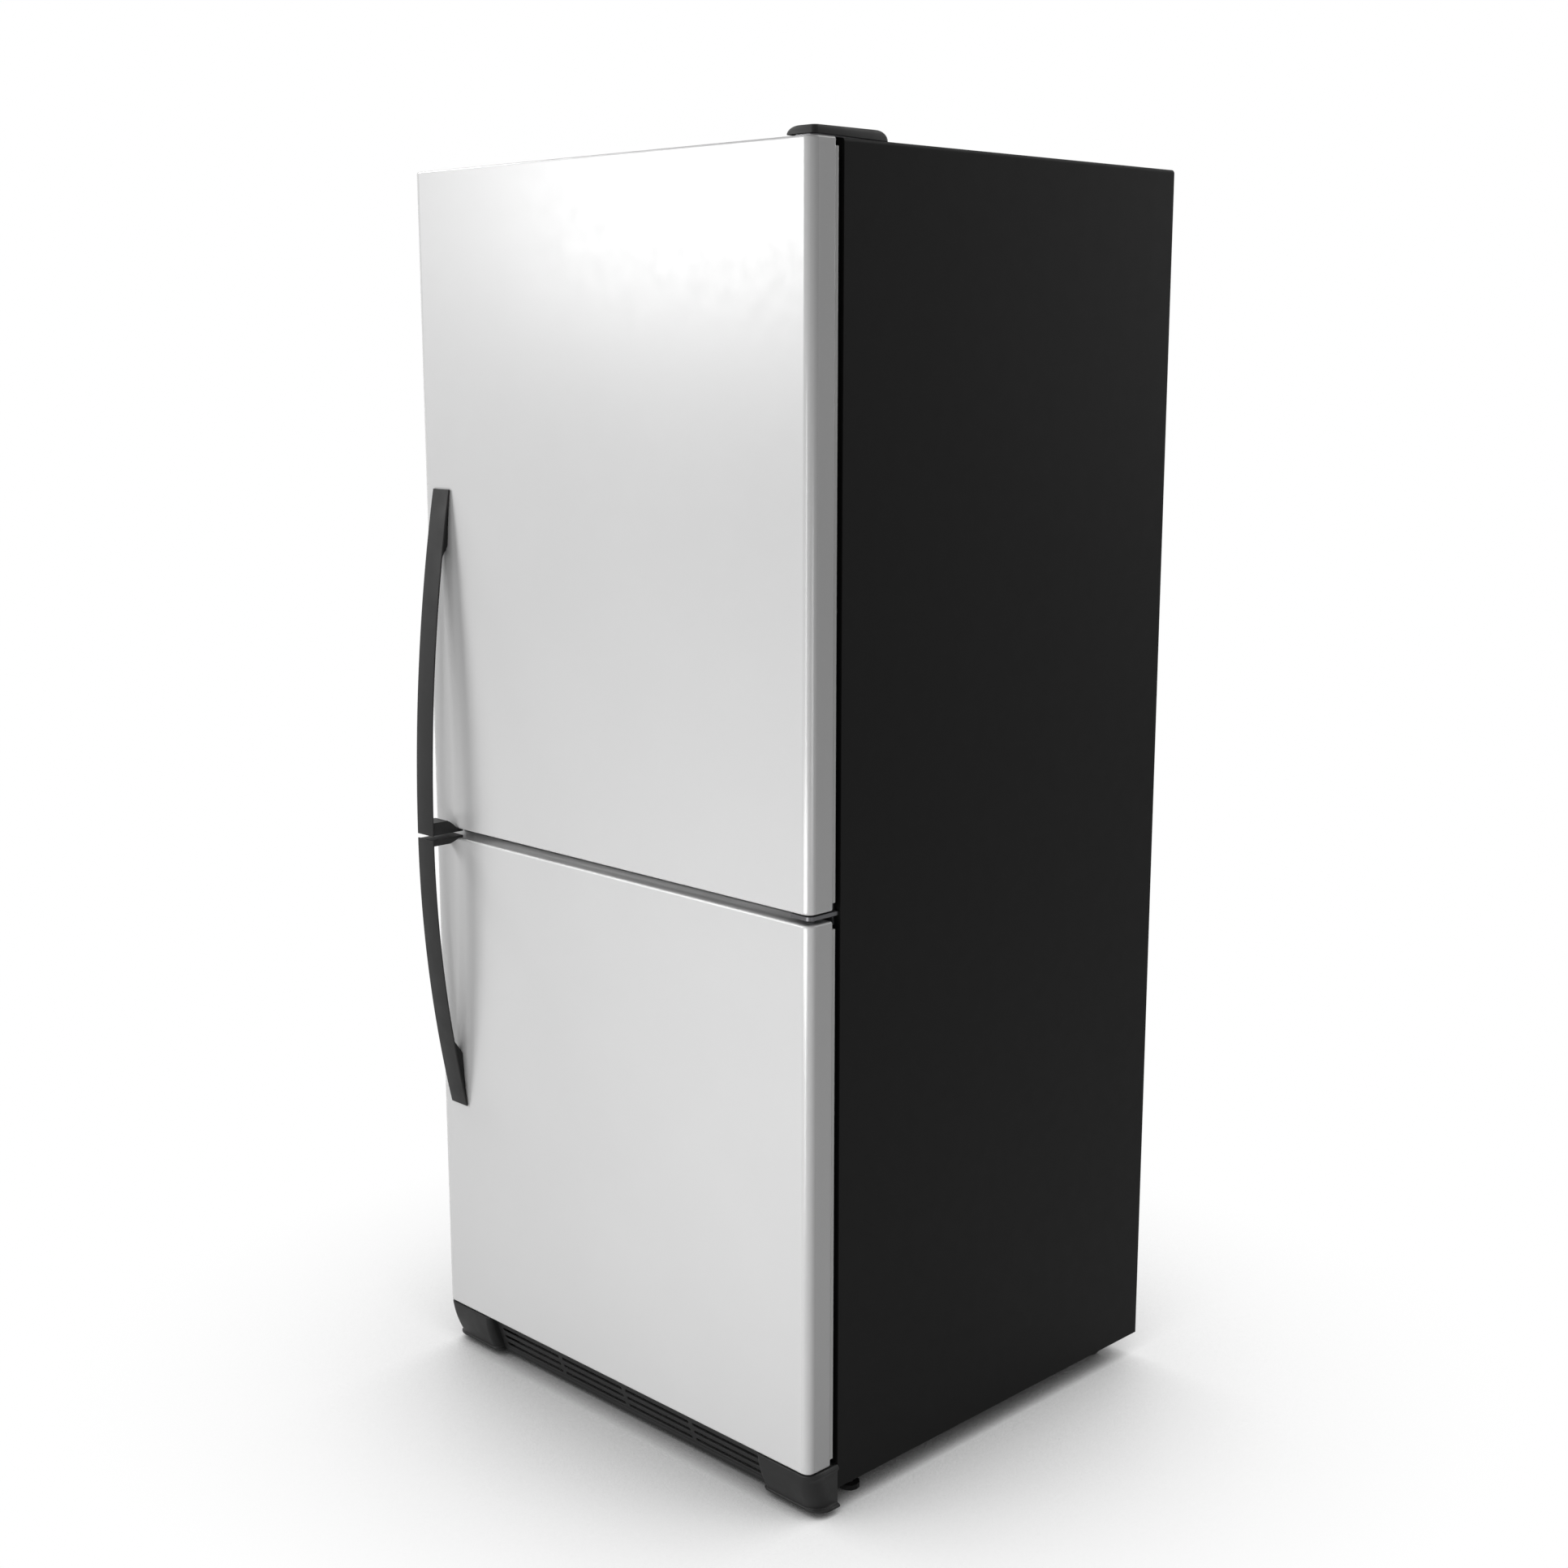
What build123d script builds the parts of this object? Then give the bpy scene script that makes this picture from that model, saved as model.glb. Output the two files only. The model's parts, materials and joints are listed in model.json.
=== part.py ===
from build123d import *

import os
from math import cos, pi, radians, sin, sqrt

# Bottom-freezer refrigerator: a dark cabinet with two light doors hinged on the right.
# Millimetres. +X is to the right, +Y to the back, +Z up, and the floor is Z = 0.
# The origin is the middle of the footprint, handles included.

os.makedirs("parts", exist_ok=True)

# Overall sizes
WIDTH = 752.0  # across the doors and the cabinet sides
BODY_DEPTH = 694.0  # door front to the cabinet's rear edge
HANDLE_REACH = 48.0  # handle front ahead of the door front
CABINET_BASE = 33.0  # floor to the cabinet's lower edge
DOOR_BASE = 68.0  # floor to the freezer door's lower edge
GAP_LEVEL = 790.0  # middle of the gap between the doors
DOOR_GAP = 13.0
DOOR_TOP = 1696.5  # top of the fridge door and of the cabinet

# Sheets and clearances
STEEL = 1.0
PLASTIC = 2.0
FIT = 0.3  # between pieces that stay together
RUN = 0.5  # between pieces that slide past each other
PIN_FIT = 0.05  # round a pin or a shaft
FLATS = 8  # sides of small shafts that turn in round bores

# Doors
DOOR_DEPTH = 46.5  # door front to the back of the rim
SKIN_DEPTH = 39.5  # door front to the rear edge of the steel skin
SIDE_EDGE = 12.0  # radius of the upright front edges
END_EDGE = 4.0  # radius of the top and bottom edges
SKIN_RETURN = 24.0  # skin's fold round its open back
RIM_INSET = 10.0  # rim's ends short of the skin's ends
RIM_WALL = 26.0  # width of the rim's solid border
RIM_EDGE = 2.0
GASKET_SPACE = 7.5  # rim to cabinet front
GASKET_WIDTH = 17.0
GASKET_INSET = 19.0  # from the door's sides
GASKET_END_INSET = 14.0  # from the door's top and bottom
DYKE_SIDE_GAP = 23.0  # dyke's outer face inside the compartment's wall
DYKE_WIDTH = 30.0
DYKE_DEPTH = 74.0
DYKE_TAPER = 4.0  # degrees
DYKE_EDGE = 4.0
DYKE_FLOOR_GAP = 12.0  # dyke's lower end above the compartment's floor
DYKE_CEILING_GAP = 15.0

# Door hinges
HINGE_SIDE = 18.0  # axis from the door's side
HINGE_DEPTH = 22.0  # axis behind the door's front
PIN_RADIUS = 5.0
PIN_LENGTH = 14.0  # pin inside the door
BUSH_SIZE = 20.0  # square insert in a door's end
BUSH_LENGTH = 18.0
HINGE_PLATE = 3.0
LEAF_WIDTH = 48.0  # bottom hinge's leaf on the base frame
CENTRE_PLATE = 5.0  # thickness of the plate in the gap
CENTRE_DROP = 2.5  # its top below the fridge door
CENTRE_SIDE = 3.0  # its right edge inside the door's side
CENTRE_LEFT = 36.0  # its left edge from the door's side

# Handles
HANDLE_WIDTH = 36.0
HANDLE_INSET = 29.0  # handle's outer edge from the door's side
HANDLE_THICK = 3.8
HANDLE_TIP = 3.5  # thickness of the far end
HANDLE_FOOT = 84.0  # length of the solid far end on the door
HANDLE_CLOSE = 10.0  # length over which the gap closes
HANDLE_TAB = 3.0  # tab that reaches past the door's edge
HANDLE_TAB_DEPTH = 7.0
HANDLE_EDGE = 1.2
FRIDGE_HANDLE_LENGTH = 480.0
FRIDGE_HANDLE_LEG = 18.0  # height of the leg beside the gap
FRIDGE_HANDLE_SWEEP = 18.0  # depth of the curve from the leg to the tab
FREEZER_HANDLE_LENGTH = 400.0
FREEZER_HANDLE_LEG = 8.8
FREEZER_HANDLE_SWEEP = 11.0

# Cabinet
FLANGE = 24.0  # wrapper's front fold
REAR_FOLD = 16.0
BEND = 5.0  # wrapper's upper bends
BACK_RECESS = 6.0  # back panel inside the wrapper's rear edge
EMBOSS = 2.5
PAD_MARGIN = 60.0  # raised pads inside the back panel's edges
PAD_SPACE = 70.0  # between the pads
SIDE_WALL = 45.0
TOP_WALL = 50.0
BACK_WALL = 60.0
FLOOR_WALL = 50.0
MULLION = 70.0  # wall between the compartments
LINER_FLANGE = 20.0
CORNER = 24.0  # compartment's floor and ceiling corners
SIDE_CORNER = 14.0
DECK = 66.0  # sheet under the freezer
MACHINE_DEPTH = 200.0
MACHINE_TOP = 300.0
STEP_WALL = 52.0  # foam over the machine space

# Fridge compartment
SHELF_SETBACK = 96.0  # shelf front behind the cabinet front
SHELF_COUNT = 2
SHELF_SIDE_GAP = 9.0
SHELF_HEIGHT = 14.0
SHELF_BORDER = 22.0
GLASS = 4.0
GLASS_SEAT = 8.0  # ledge under a pane
TRACK_X = 150.0
TRACK_WIDTH = 24.0
TRACK_DEPTH = 8.0
TRACK_PITCH = 72.0
BRACKET_HEIGHT = 70.0
BRACKET_LENGTH = 300.0
BRACKET_THICK = 4.0
CRISPER_FLOOR_GAP = 7.0
FASCIA_HEIGHT = 18.0
FASCIA_DEPTH = 6.0
CRISPER_HEIGHT = 178.0
CRISPER_DROP = 12.0  # crisper rim below the cover
CRISPER_SIDE_GAP = 23.0
CRISPER_INNER = 14.0
CRISPER_BACK_GAP = 44.0
LIP_WIDTH = 8.0
LIP_THICK = 3.0
TUB_WALL = 2.5
TUB_CORNER = 10.0
TUB_CUT = 5.5  # cut across a tub's inner corners
HOUSING_HALF = 170.0
HOUSING_SETBACK = 119.0  # control housing behind the cabinet front
HOUSING_DEPTH = 190.0
HOUSING_HEIGHT = 42.0
DIAL_X = 75.0
DIAL_RADIUS = 16.0
DIAL_DEPTH = 11.0
DIAL_STEM = 4.0
DIAL_FLUTES = 12
LENS_HALF = 80.0
LENS_DEPTH = 120.0
LENS_HEIGHT = 24.0
LENS_EDGE = 2.0
SWITCH_DROP = 146.0  # light switch below the ceiling
SWITCH_BOSS = 12.0
SWITCH_HALF = 3.0
SWITCH_LENGTH = 30.0
SLIDE_WIDTH = 22.0
SLIDE_HEIGHT = 12.0
SLIDE_THICK = 4.0
SLIDE_STEM = 5.0
SLIDE_TRAVEL = 20.0  # each way

# Freezer compartment
TUB_SETBACK = 104.0  # basket and drawer fronts behind the cabinet front
BASKET_GAP = 48.0  # basket above the step over the machine space
BASKET_HEIGHT = 165.0
DRAWER_GAP = 10.0  # drawer above the floor
DRAWER_HEIGHT = 192.0
FREEZER_TUB_GAP = 31.0  # basket and drawer inside the walls
RAIL_LEDGE = 3.0
RAIL_WEB = 2.5
EVAPORATOR_SPACE = 61.0  # cover front ahead of the back wall
COVER_SIDE_GAP = 16.0
COVER_END_GAP = 28.0
EVAPORATOR_FAN_RADIUS = 42.0
FAN_OPENING_SIDES = 24
EVAPORATOR_FAN_DROP = 46.0  # fan's axis below the cover's top

# Door storage
BIN_DEPTH = 92.0
BIN_HEIGHT = 88.0
BIN_LEAN = 16.0
BIN_CORNER = 6.0
BIN_FLOOR_GAP = 21.0  # lowest bin above the compartment's floor
FRIDGE_BIN_COUNT = 3
FREEZER_BIN_COUNT = 2
DAIRY_DROP = 56.0  # dairy box below the ceiling
DAIRY_HEIGHT = 120.0
DAIRY_BACK_GAP = 8.0  # flap's outer face inside the box's rear edge
FLAP_THICK = 2.5
FLAP_PIN = 2.5
FLAP_DROP = 12.0  # flap's axis below the box's top

# Machine space
COMPRESSOR_GAP = 92.0  # from the cabinet's side
COMPRESSOR_RADIUS = 72.0
COMPRESSOR_HEIGHT = 150.0
COMPRESSOR_DOME = 32.0  # sloping shoulder
COMPRESSOR_SIDES = 24
GROMMET = 12.0
CONDENSER_GAP = 60.0  # from the cabinet's side
CONDENSER_WIDTH = 210.0
CONDENSER_LEVEL = 78.0
CONDENSER_HEIGHT = 150.0
FIN_COUNT = 5
FIN = 1.2
COIL_TUBE = 4.0
FAN_GAP = 27.0  # fan beside the condenser
FAN_LEVEL = 150.0
FAN_RADIUS = 58.0
FAN_WIDTH = 18.0
FAN_HUB = 15.0
FAN_BLADES = 4
FAN_PITCH = 28.0  # degrees
MOTOR_HALF = 20.0
MOTOR_LENGTH = 26.0
MOTOR_SHAFT = 3.0
GLAND_RADIUS = 7.0
LOUVRE = 14.0
LOUVRE_PITCH = 34.0
LOUVRE_COUNT = 4

# Base
FOOT_SIDE = 35.0  # foot's axis from the cabinet's side
FOOT_SETBACK = 113.0  # foot's axis behind the door front
FOOT_RADIUS = 14.0
FOOT_DISC = 7.0
FOOT_FLUTES = 12
FOOT_STEM = 5.0
FOOT_STEM_TOP = 56.0
FOOT_PAD_LEVEL = 44.0
CHANNEL_DEPTH = 92.0
CHANNEL = 2.0
ROLLER_SIDE = 46.0
ROLLER_RADIUS = 15.0
ROLLER_WIDTH = 16.0
ROLLER_SIDES = 24
ROLLER_REAR = 46.0  # axle ahead of the rear edge
AXLE_RADIUS = 3.0

# Toe grille
GRILLE_DROP = 1.5  # top of the grille below the door
GRILLE_SETBACK = 12.0  # top of the slotted plate behind the door front
GRILLE_LEAN = 18.5  # plate's foot behind its top
GRILLE_WALL = 3.0
SHROUD_WIDTH = 96.0
SHROUD_LEAN = 19.0  # face's foot behind its top
SHROUD_BULGE = 3.7
SHROUD_CORNER = 14.0  # radius of the outer upright edge
SHROUD_EDGE = 9.0  # radius of the inner upright edge
BEAD_RADIUS = 4.3  # bead along the top of a shroud's side
BEAD_DROP = 5.4  # its axis below the door
LIP_LEVEL = 8.0
LIP_HEIGHT = 7.0
LIP_FLARE = 5.0
LIP_ROOT = 2.0  # lip ahead of the face's foot
SLOT_ROWS = 3
SLOT_COLUMNS = 4
SLOT_HEIGHT = 5.6
SLOT_PITCH = 12.4
SLOT_DROP = 20.8  # middle of the upper row below the door
SLOT_MARGIN = 6.0  # slots' field inside the shrouds
COLUMN_BAR = 8.0

# Top hinge cover
COVER_FRONT = 12.0  # behind the door front
COVER_LENGTH = 125.0
COVER_WIDTH = 48.0
COVER_SIDE = 6.0  # from the cabinet's side
COVER_HEIGHT = 12.0
COVER_CORNER = 6.0
COVER_LEFT_SLOPE = 13.0
COVER_REAR_SLOPE = 17.0

# Places worked out from the sizes above
SIDE = WIDTH / 2
FRONT = HANDLE_REACH - (BODY_DEPTH + HANDLE_REACH) / 2
REAR = FRONT + BODY_DEPTH
RIM_FRONT = FRONT + SKIN_DEPTH + FIT
RIM_BACK = FRONT + DOOR_DEPTH
CABINET_FRONT = RIM_BACK + GASKET_SPACE
BACK_FACE = REAR - BACK_RECESS
INNER_SIDE = SIDE - STEEL - FIT  # what fits between the wrapper's sides
FREEZER_DOOR = (DOOR_BASE, GAP_LEVEL - DOOR_GAP / 2)
FRIDGE_DOOR = (GAP_LEVEL + DOOR_GAP / 2, DOOR_TOP)
HINGE_X = SIDE - HINGE_SIDE
HINGE_Y = FRONT + HINGE_DEPTH
ROOM_SIDE = SIDE - SIDE_WALL
ROOM_BACK = REAR - BACK_WALL
FRIDGE_ROOM = (GAP_LEVEL + MULLION / 2, DOOR_TOP - TOP_WALL)
FREEZER_ROOM = (DOOR_BASE + FLOOR_WALL, GAP_LEVEL - MULLION / 2)
MACHINE_FRONT = REAR - MACHINE_DEPTH
STEP_FRONT = MACHINE_FRONT - STEP_WALL
STEP_TOP = MACHINE_TOP + STEP_WALL
BASE_FLOOR = CABINET_BASE + CHANNEL
FOOT_X = SIDE - FOOT_SIDE
ROLLER_X = SIDE - ROLLER_SIDE
COVER_LEVEL = FRIDGE_ROOM[0] + CRISPER_FLOOR_GAP + CRISPER_HEIGHT + CRISPER_DROP
SHELF_SPACE = (FRIDGE_ROOM[1] - COVER_LEVEL) / (SHELF_COUNT + 1)
SHELF_LEVELS = [COVER_LEVEL + SHELF_SPACE * (count + 1) for count in range(SHELF_COUNT)]
SHELF_HALF = ROOM_SIDE - SHELF_SIDE_GAP
SHELF_FRONT = CABINET_FRONT + SHELF_SETBACK
TRACK_FACE = ROOM_BACK - FIT - TRACK_DEPTH
SHELF_BACK = TRACK_FACE - FIT
TUB_FRONT = CABINET_FRONT + TUB_SETBACK
CRISPER_TOP = COVER_LEVEL - CRISPER_DROP
CRISPER_OUTER = ROOM_SIDE - CRISPER_SIDE_GAP
SLIDE_X = (CRISPER_INNER + CRISPER_OUTER) / 2
SWITCH_LEVEL = FRIDGE_ROOM[1] - SWITCH_DROP
BASKET_LEVELS = (STEP_TOP + BASKET_GAP, STEP_TOP + BASKET_GAP + BASKET_HEIGHT)
DRAWER_LEVELS = (FREEZER_ROOM[0] + DRAWER_GAP, FREEZER_ROOM[0] + DRAWER_GAP + DRAWER_HEIGHT)
FREEZER_TUB_HALF = ROOM_SIDE - FREEZER_TUB_GAP
DYKE_OUTER = ROOM_SIDE - DYKE_SIDE_GAP
DYKE_INNER = DYKE_OUTER - DYKE_WIDTH
BIN_HALF = DYKE_INNER - FIT
BIN_BACK = RIM_BACK + FIT
DAIRY_TOP = FRIDGE_ROOM[1] - DAIRY_DROP
DAIRY_LEVELS = (DAIRY_TOP - DAIRY_HEIGHT, DAIRY_TOP)
EVAPORATOR_FRONT = ROOM_BACK - EVAPORATOR_SPACE
FAN_DEPTH_AT = (MACHINE_FRONT + BACK_FACE) / 2
COMPRESSOR_X = COMPRESSOR_GAP + COMPRESSOR_RADIUS - INNER_SIDE
CONDENSER_X = INNER_SIDE - CONDENSER_GAP - CONDENSER_WIDTH / 2
FAN_X = CONDENSER_X - CONDENSER_WIDTH / 2 - FAN_GAP
SHROUD_INNER = SIDE - SHROUD_WIDTH
GRILLE_TOP = DOOR_BASE - GRILLE_DROP
COLUMN_PITCH = 2 * (SHROUD_INNER - SLOT_MARGIN) / SLOT_COLUMNS


def facing(y):
    """Upright plane at y seen from the front: local x is X, local y is Z, normal to -Y."""
    return Plane((0, y, 0), x_dir=(1, 0, 0), z_dir=(0, -1, 0))


def behind(y):
    """Upright plane at y seen from the back: local x is -X, local y is Z, normal to +Y."""
    return Plane((0, y, 0), x_dir=(-1, 0, 0), z_dir=(0, 1, 0))


def block(x, y, z, mode=Mode.ADD):
    """A box between two corners: x, y and z are pairs of low and high."""
    with BuildSketch(Plane.XY.offset(z[0])) as base:
        with Locations(((x[0] + x[1]) / 2, (y[0] + y[1]) / 2)):
            Rectangle(x[1] - x[0], y[1] - y[0])
    extrude(base.sketch, amount=z[1] - z[0], mode=mode)


def rod(start, direction, radius, length, mode=Mode.ADD, sides=0):
    """A cylinder from a point along a direction, or a prism where `sides` is given."""
    with BuildSketch(Plane(start, z_dir=direction)) as end:
        if sides:
            RegularPolygon(radius, sides)
        else:
            Circle(radius)
    extrude(end.sketch, amount=length, mode=mode)


def keep(piece, name):
    """Label a finished piece and write it."""
    piece.part.label = name
    export_step(piece.part, f"parts/{name}.step")


def room_path(room, back, front, stepped, grow):
    """Side outline of a compartment grown by a wall."""
    low, high = room[0] - grow, room[1] + grow
    if stepped:
        riser, tread = STEP_FRONT + grow, STEP_TOP - grow
        foot = [(riser, low), (riser, tread), (back, tread)]
    else:
        foot = [(back, low)]
    return [(front, low), *foot, (back, high), (front, high)]


def room_form(room, front, stepped=False):
    """Inside of a compartment: its side outline crossed with its rounded mouth."""
    points = room_path(room, ROOM_BACK, front, stepped, 0)
    with BuildPart() as form:
        with BuildSketch(Plane.YZ.offset(-ROOM_SIDE)):
            with BuildLine():
                FilletPolyline(*points, radius=CORNER)
                Line(points[-1], points[0])
            make_face()
        extrude(amount=2 * ROOM_SIDE)
        with BuildSketch(facing(front)):
            with Locations((0, (room[0] + room[1]) / 2)):
                RectangleRounded(2 * ROOM_SIDE, room[1] - room[0], SIDE_CORNER)
        extrude(amount=front - ROOM_BACK, mode=Mode.INTERSECT)
    return form.part


def room_block(room, grow, front, stepped=False, mode=Mode.ADD):
    """Compartment grown by a wall, with square corners that the foam meets."""
    half = ROOM_SIDE + grow
    with BuildSketch(Plane.YZ.offset(-half)) as side:
        with BuildLine():
            Polyline(*room_path(room, ROOM_BACK + grow, front, stepped, grow), close=True)
        make_face()
    extrude(side.sketch, amount=2 * half, mode=mode)


def door_form(span, inset, back):
    """Door block from its front to `back`, shrunk by `inset`: its plan crossed with its side outline."""
    half, near = SIDE - inset, FRONT + inset
    low, high = span[0] + inset, span[1] - inset
    with BuildPart() as form:
        with BuildSketch(Plane.XY.offset(low)):
            with BuildLine():
                corners = ((-half, back), (-half, near), (half, near), (half, back))
                FilletPolyline(*corners, radius=SIDE_EDGE - inset)
                Line(corners[-1], corners[0])
            make_face()
        extrude(amount=high - low)
        with BuildSketch(Plane.YZ.offset(-half)):
            with BuildLine():
                corners = ((back, low), (near, low), (near, high), (back, high))
                FilletPolyline(*corners, radius=END_EDGE - inset)
                Line(corners[-1], corners[0])
            make_face()
        extrude(amount=2 * half, mode=Mode.INTERSECT)
    return form.part


def wrapper_form(inset):
    """Cabinet block shrunk by `inset`, with its upper bends rounded."""
    wall, top = SIDE - inset, DOOR_TOP - inset
    with BuildPart() as form:
        with BuildSketch(facing(CABINET_FRONT + inset)):
            with BuildLine():
                corners = ((-wall, CABINET_BASE), (-wall, top), (wall, top), (wall, CABINET_BASE))
                FilletPolyline(*corners, radius=BEND - inset)
                Line(corners[-1], corners[0])
            make_face()
        extrude(amount=-(REAR - CABINET_FRONT - 2 * inset))
    return form.part


def tub(x, y, z, wall):
    """Open box with thin walls, rounded outside and cut inside, from pairs of low and high."""
    middle = ((x[0] + x[1]) / 2, (y[0] + y[1]) / 2)
    wide, deep = x[1] - x[0], y[1] - y[0]
    with BuildPart() as form:
        with BuildSketch(Plane.XY.offset(z[0])):
            with Locations(middle):
                RectangleRounded(wide, deep, TUB_CORNER)
        extrude(amount=z[1] - z[0])
        with BuildSketch(Plane.XY.offset(z[0] + wall)) as inside:
            with Locations(middle):
                Rectangle(wide - 2 * wall, deep - 2 * wall)
            chamfer(inside.vertices(), TUB_CUT)
        extrude(amount=z[1] - z[0], mode=Mode.SUBTRACT)
    return form.part


def bin_outline(low, inset):
    """Side outline of a door bin: upright back, rounded foot, leaning retainer."""
    back, top = BIN_BACK + inset, low + BIN_HEIGHT
    reach = RIM_BACK + BIN_DEPTH - inset
    foot = low + inset
    corners = ((back, top), (back, foot), (reach - BIN_LEAN, foot), (reach, top))
    if inset:
        Polyline(*corners)
    else:
        FilletPolyline(*corners, radius=BIN_CORNER)
    Line(corners[-1], corners[0])


def fan(centre, axis, tip, width, hub):
    """Axial fan: a hub on a shaft bore and pitched blades round it."""
    with BuildPart() as form:
        base = Plane(centre, z_dir=axis)
        with BuildSketch(base.offset(-width / 2)):
            RegularPolygon(hub, 3 * FAN_BLADES)
        extrude(amount=width)
        for blade in range(FAN_BLADES):
            turn = 2 * pi * blade / FAN_BLADES
            out = base.x_dir * cos(turn) + base.y_dir * sin(turn)
            across = base.y_dir * cos(turn) - base.x_dir * sin(turn)
            lean = base.z_dir * cos(radians(FAN_PITCH)) + across * sin(radians(FAN_PITCH))
            with BuildSketch(Plane(centre, x_dir=out, z_dir=lean)):
                with BuildLine():
                    root = ((hub / 2, -hub / 2), (hub / 2, hub / 2))
                    Polyline(*root, (tip * 0.96, width * 0.9), (tip * 0.9, -width * 0.7), close=True)
                make_face()
            extrude(amount=PLASTIC / 2, both=True)
        with BuildSketch(base.offset(-width)):
            Circle(MOTOR_SHAFT + PIN_FIT)
        extrude(amount=1.5 * width - PLASTIC, mode=Mode.SUBTRACT)
    return form.part


def coil(x, y, z, fins):
    """Finned coil: upright plates in a row along X, threaded on straight tubes."""
    step = (x[1] - x[0] - FIN) / (fins - 1)
    with BuildPart() as form:
        for count in range(fins):
            left = x[0] + count * step
            block((left, left + FIN), y, z)
        for share in (0.2, 0.8):
            level = z[0] + share * (z[1] - z[0])
            rod((x[0], (y[0] + y[1]) / 2, level), (1, 0, 0), COIL_TUBE, x[1] - x[0], sides=6)
    return form.part


# Cabinet wrapper: one sheet folded over both sides and the top, turned in at front and rear
wrapper_outside = wrapper_form(0)
wrapper_inside = wrapper_form(STEEL)
with BuildPart() as cabinet_wrapper:
    add(wrapper_outside)
    add(wrapper_inside, mode=Mode.SUBTRACT)
    for edge_y, fold in ((CABINET_FRONT, FLANGE), (REAR, REAR_FOLD)):
        mouth = SIDE - fold
        block(
            (-mouth, mouth),
            (edge_y - 2 * STEEL, edge_y + 2 * STEEL),
            (CABINET_BASE - BEND, DOOR_TOP - fold),
            mode=Mode.SUBTRACT,
        )
keep(cabinet_wrapper, "cabinet_wrapper")

# Back panel: a sheet stiffened by three raised pads
PANEL_LOW = MACHINE_TOP + STEEL + FIT
PANEL_HIGH = DOOR_TOP - STEEL - FIT
PAD_WIDTH = (2 * INNER_SIDE - 2 * PAD_MARGIN - 2 * PAD_SPACE) / 3
with BuildPart() as back_panel:
    with BuildSketch(behind(BACK_FACE - STEEL)):
        with BuildLine():
            corners = ((-INNER_SIDE, PANEL_LOW), (-INNER_SIDE, PANEL_HIGH))
            corners += ((INNER_SIDE, PANEL_HIGH), (INNER_SIDE, PANEL_LOW))
            FilletPolyline(*corners, radius=BEND)
            Line(corners[-1], corners[0])
        make_face()
    extrude(amount=STEEL)
    with BuildSketch(behind(BACK_FACE)):
        with Locations((0, (PANEL_LOW + PANEL_HIGH) / 2)):
            with GridLocations(PAD_WIDTH + PAD_SPACE, 0, 3, 1):
                Rectangle(PAD_WIDTH, PANEL_HIGH - PANEL_LOW - 2 * PAD_MARGIN)
    extrude(amount=EMBOSS, taper=30)
keep(back_panel, "back_panel")

# Base divider: deck under the freezer, riser and ceiling of the machine space
with BuildPart() as base_divider:
    deck_front = CABINET_FRONT + STEEL + FIT
    ceiling_back = BACK_FACE - STEEL - FIT
    with BuildSketch(Plane.YZ.offset(-INNER_SIDE)):
        with BuildLine():
            Polyline(
                (deck_front, DECK),
                (MACHINE_FRONT + STEEL, DECK),
                (MACHINE_FRONT + STEEL, MACHINE_TOP),
                (ceiling_back, MACHINE_TOP),
                (ceiling_back, MACHINE_TOP + STEEL),
                (MACHINE_FRONT, MACHINE_TOP + STEEL),
                (MACHINE_FRONT, DECK + STEEL),
                (deck_front, DECK + STEEL),
                close=True,
            )
        make_face()
    extrude(amount=2 * INNER_SIDE)
    sill = SIDE - FLANGE - FIT
    sill_top = FREEZER_ROOM[0] - LINER_FLANGE - FIT
    block((-sill, sill), (CABINET_FRONT, deck_front + STEEL), (DECK, DECK + STEEL))
    block((-sill, sill), (CABINET_FRONT, CABINET_FRONT + STEEL), (DECK, sill_top))
keep(base_divider, "base_divider")

# Base frame: front channel with foot pads, side rails and the machine floor
FOOT_Y = FRONT + FOOT_SETBACK
CHANNEL_FRONT = CABINET_FRONT + STEEL + FIT
CHANNEL_BACK = CHANNEL_FRONT + CHANNEL_DEPTH
FLOOR_FRONT = MACHINE_FRONT - STEP_WALL
FLOOR_BACK = BACK_FACE - PLASTIC - FIT
with BuildPart() as base_frame:
    for inset, mode in ((0, Mode.ADD), (CHANNEL, Mode.SUBTRACT)):
        channel_y = (CHANNEL_FRONT + inset, CHANNEL_BACK - inset)
        block((-INNER_SIDE, INNER_SIDE), channel_y, (CABINET_BASE, DECK - FIT - inset), mode=mode)
    pad_half = 2 * FOOT_RADIUS
    for side in (-1, 1):
        pad = (side * FOOT_X - pad_half, side * FOOT_X + pad_half)
        pad_level = (FOOT_PAD_LEVEL, FOOT_PAD_LEVEL + 2 * CHANNEL)
        block(pad, (CHANNEL_FRONT + STEEL, CHANNEL_BACK - STEEL), pad_level)
        edge = side * INNER_SIDE
        rail = sorted((edge, edge - side * pad_half))
        block(rail, (CHANNEL_BACK - CHANNEL, FLOOR_FRONT + CHANNEL), (CABINET_BASE, BASE_FLOOR))
        web = sorted((edge, edge - side * CHANNEL))
        block(web, (CHANNEL_BACK - CHANNEL, FLOOR_FRONT + CHANNEL), (CABINET_BASE, DECK - FIT))
        foot_start = (side * FOOT_X, FOOT_Y, FOOT_PAD_LEVEL - CHANNEL)
        rod(foot_start, (0, 0, 1), FOOT_STEM + PIN_FIT, 4 * CHANNEL, mode=Mode.SUBTRACT)
    block((-INNER_SIDE, INNER_SIDE), (FLOOR_FRONT, FLOOR_BACK), (CABINET_BASE, BASE_FLOOR))
    lip_front = FLOOR_BACK - CHANNEL
    block((-INNER_SIDE, INNER_SIDE), (lip_front, FLOOR_BACK), (CABINET_BASE, BASE_FLOOR + GROMMET))
keep(base_frame, "base_frame")

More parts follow.
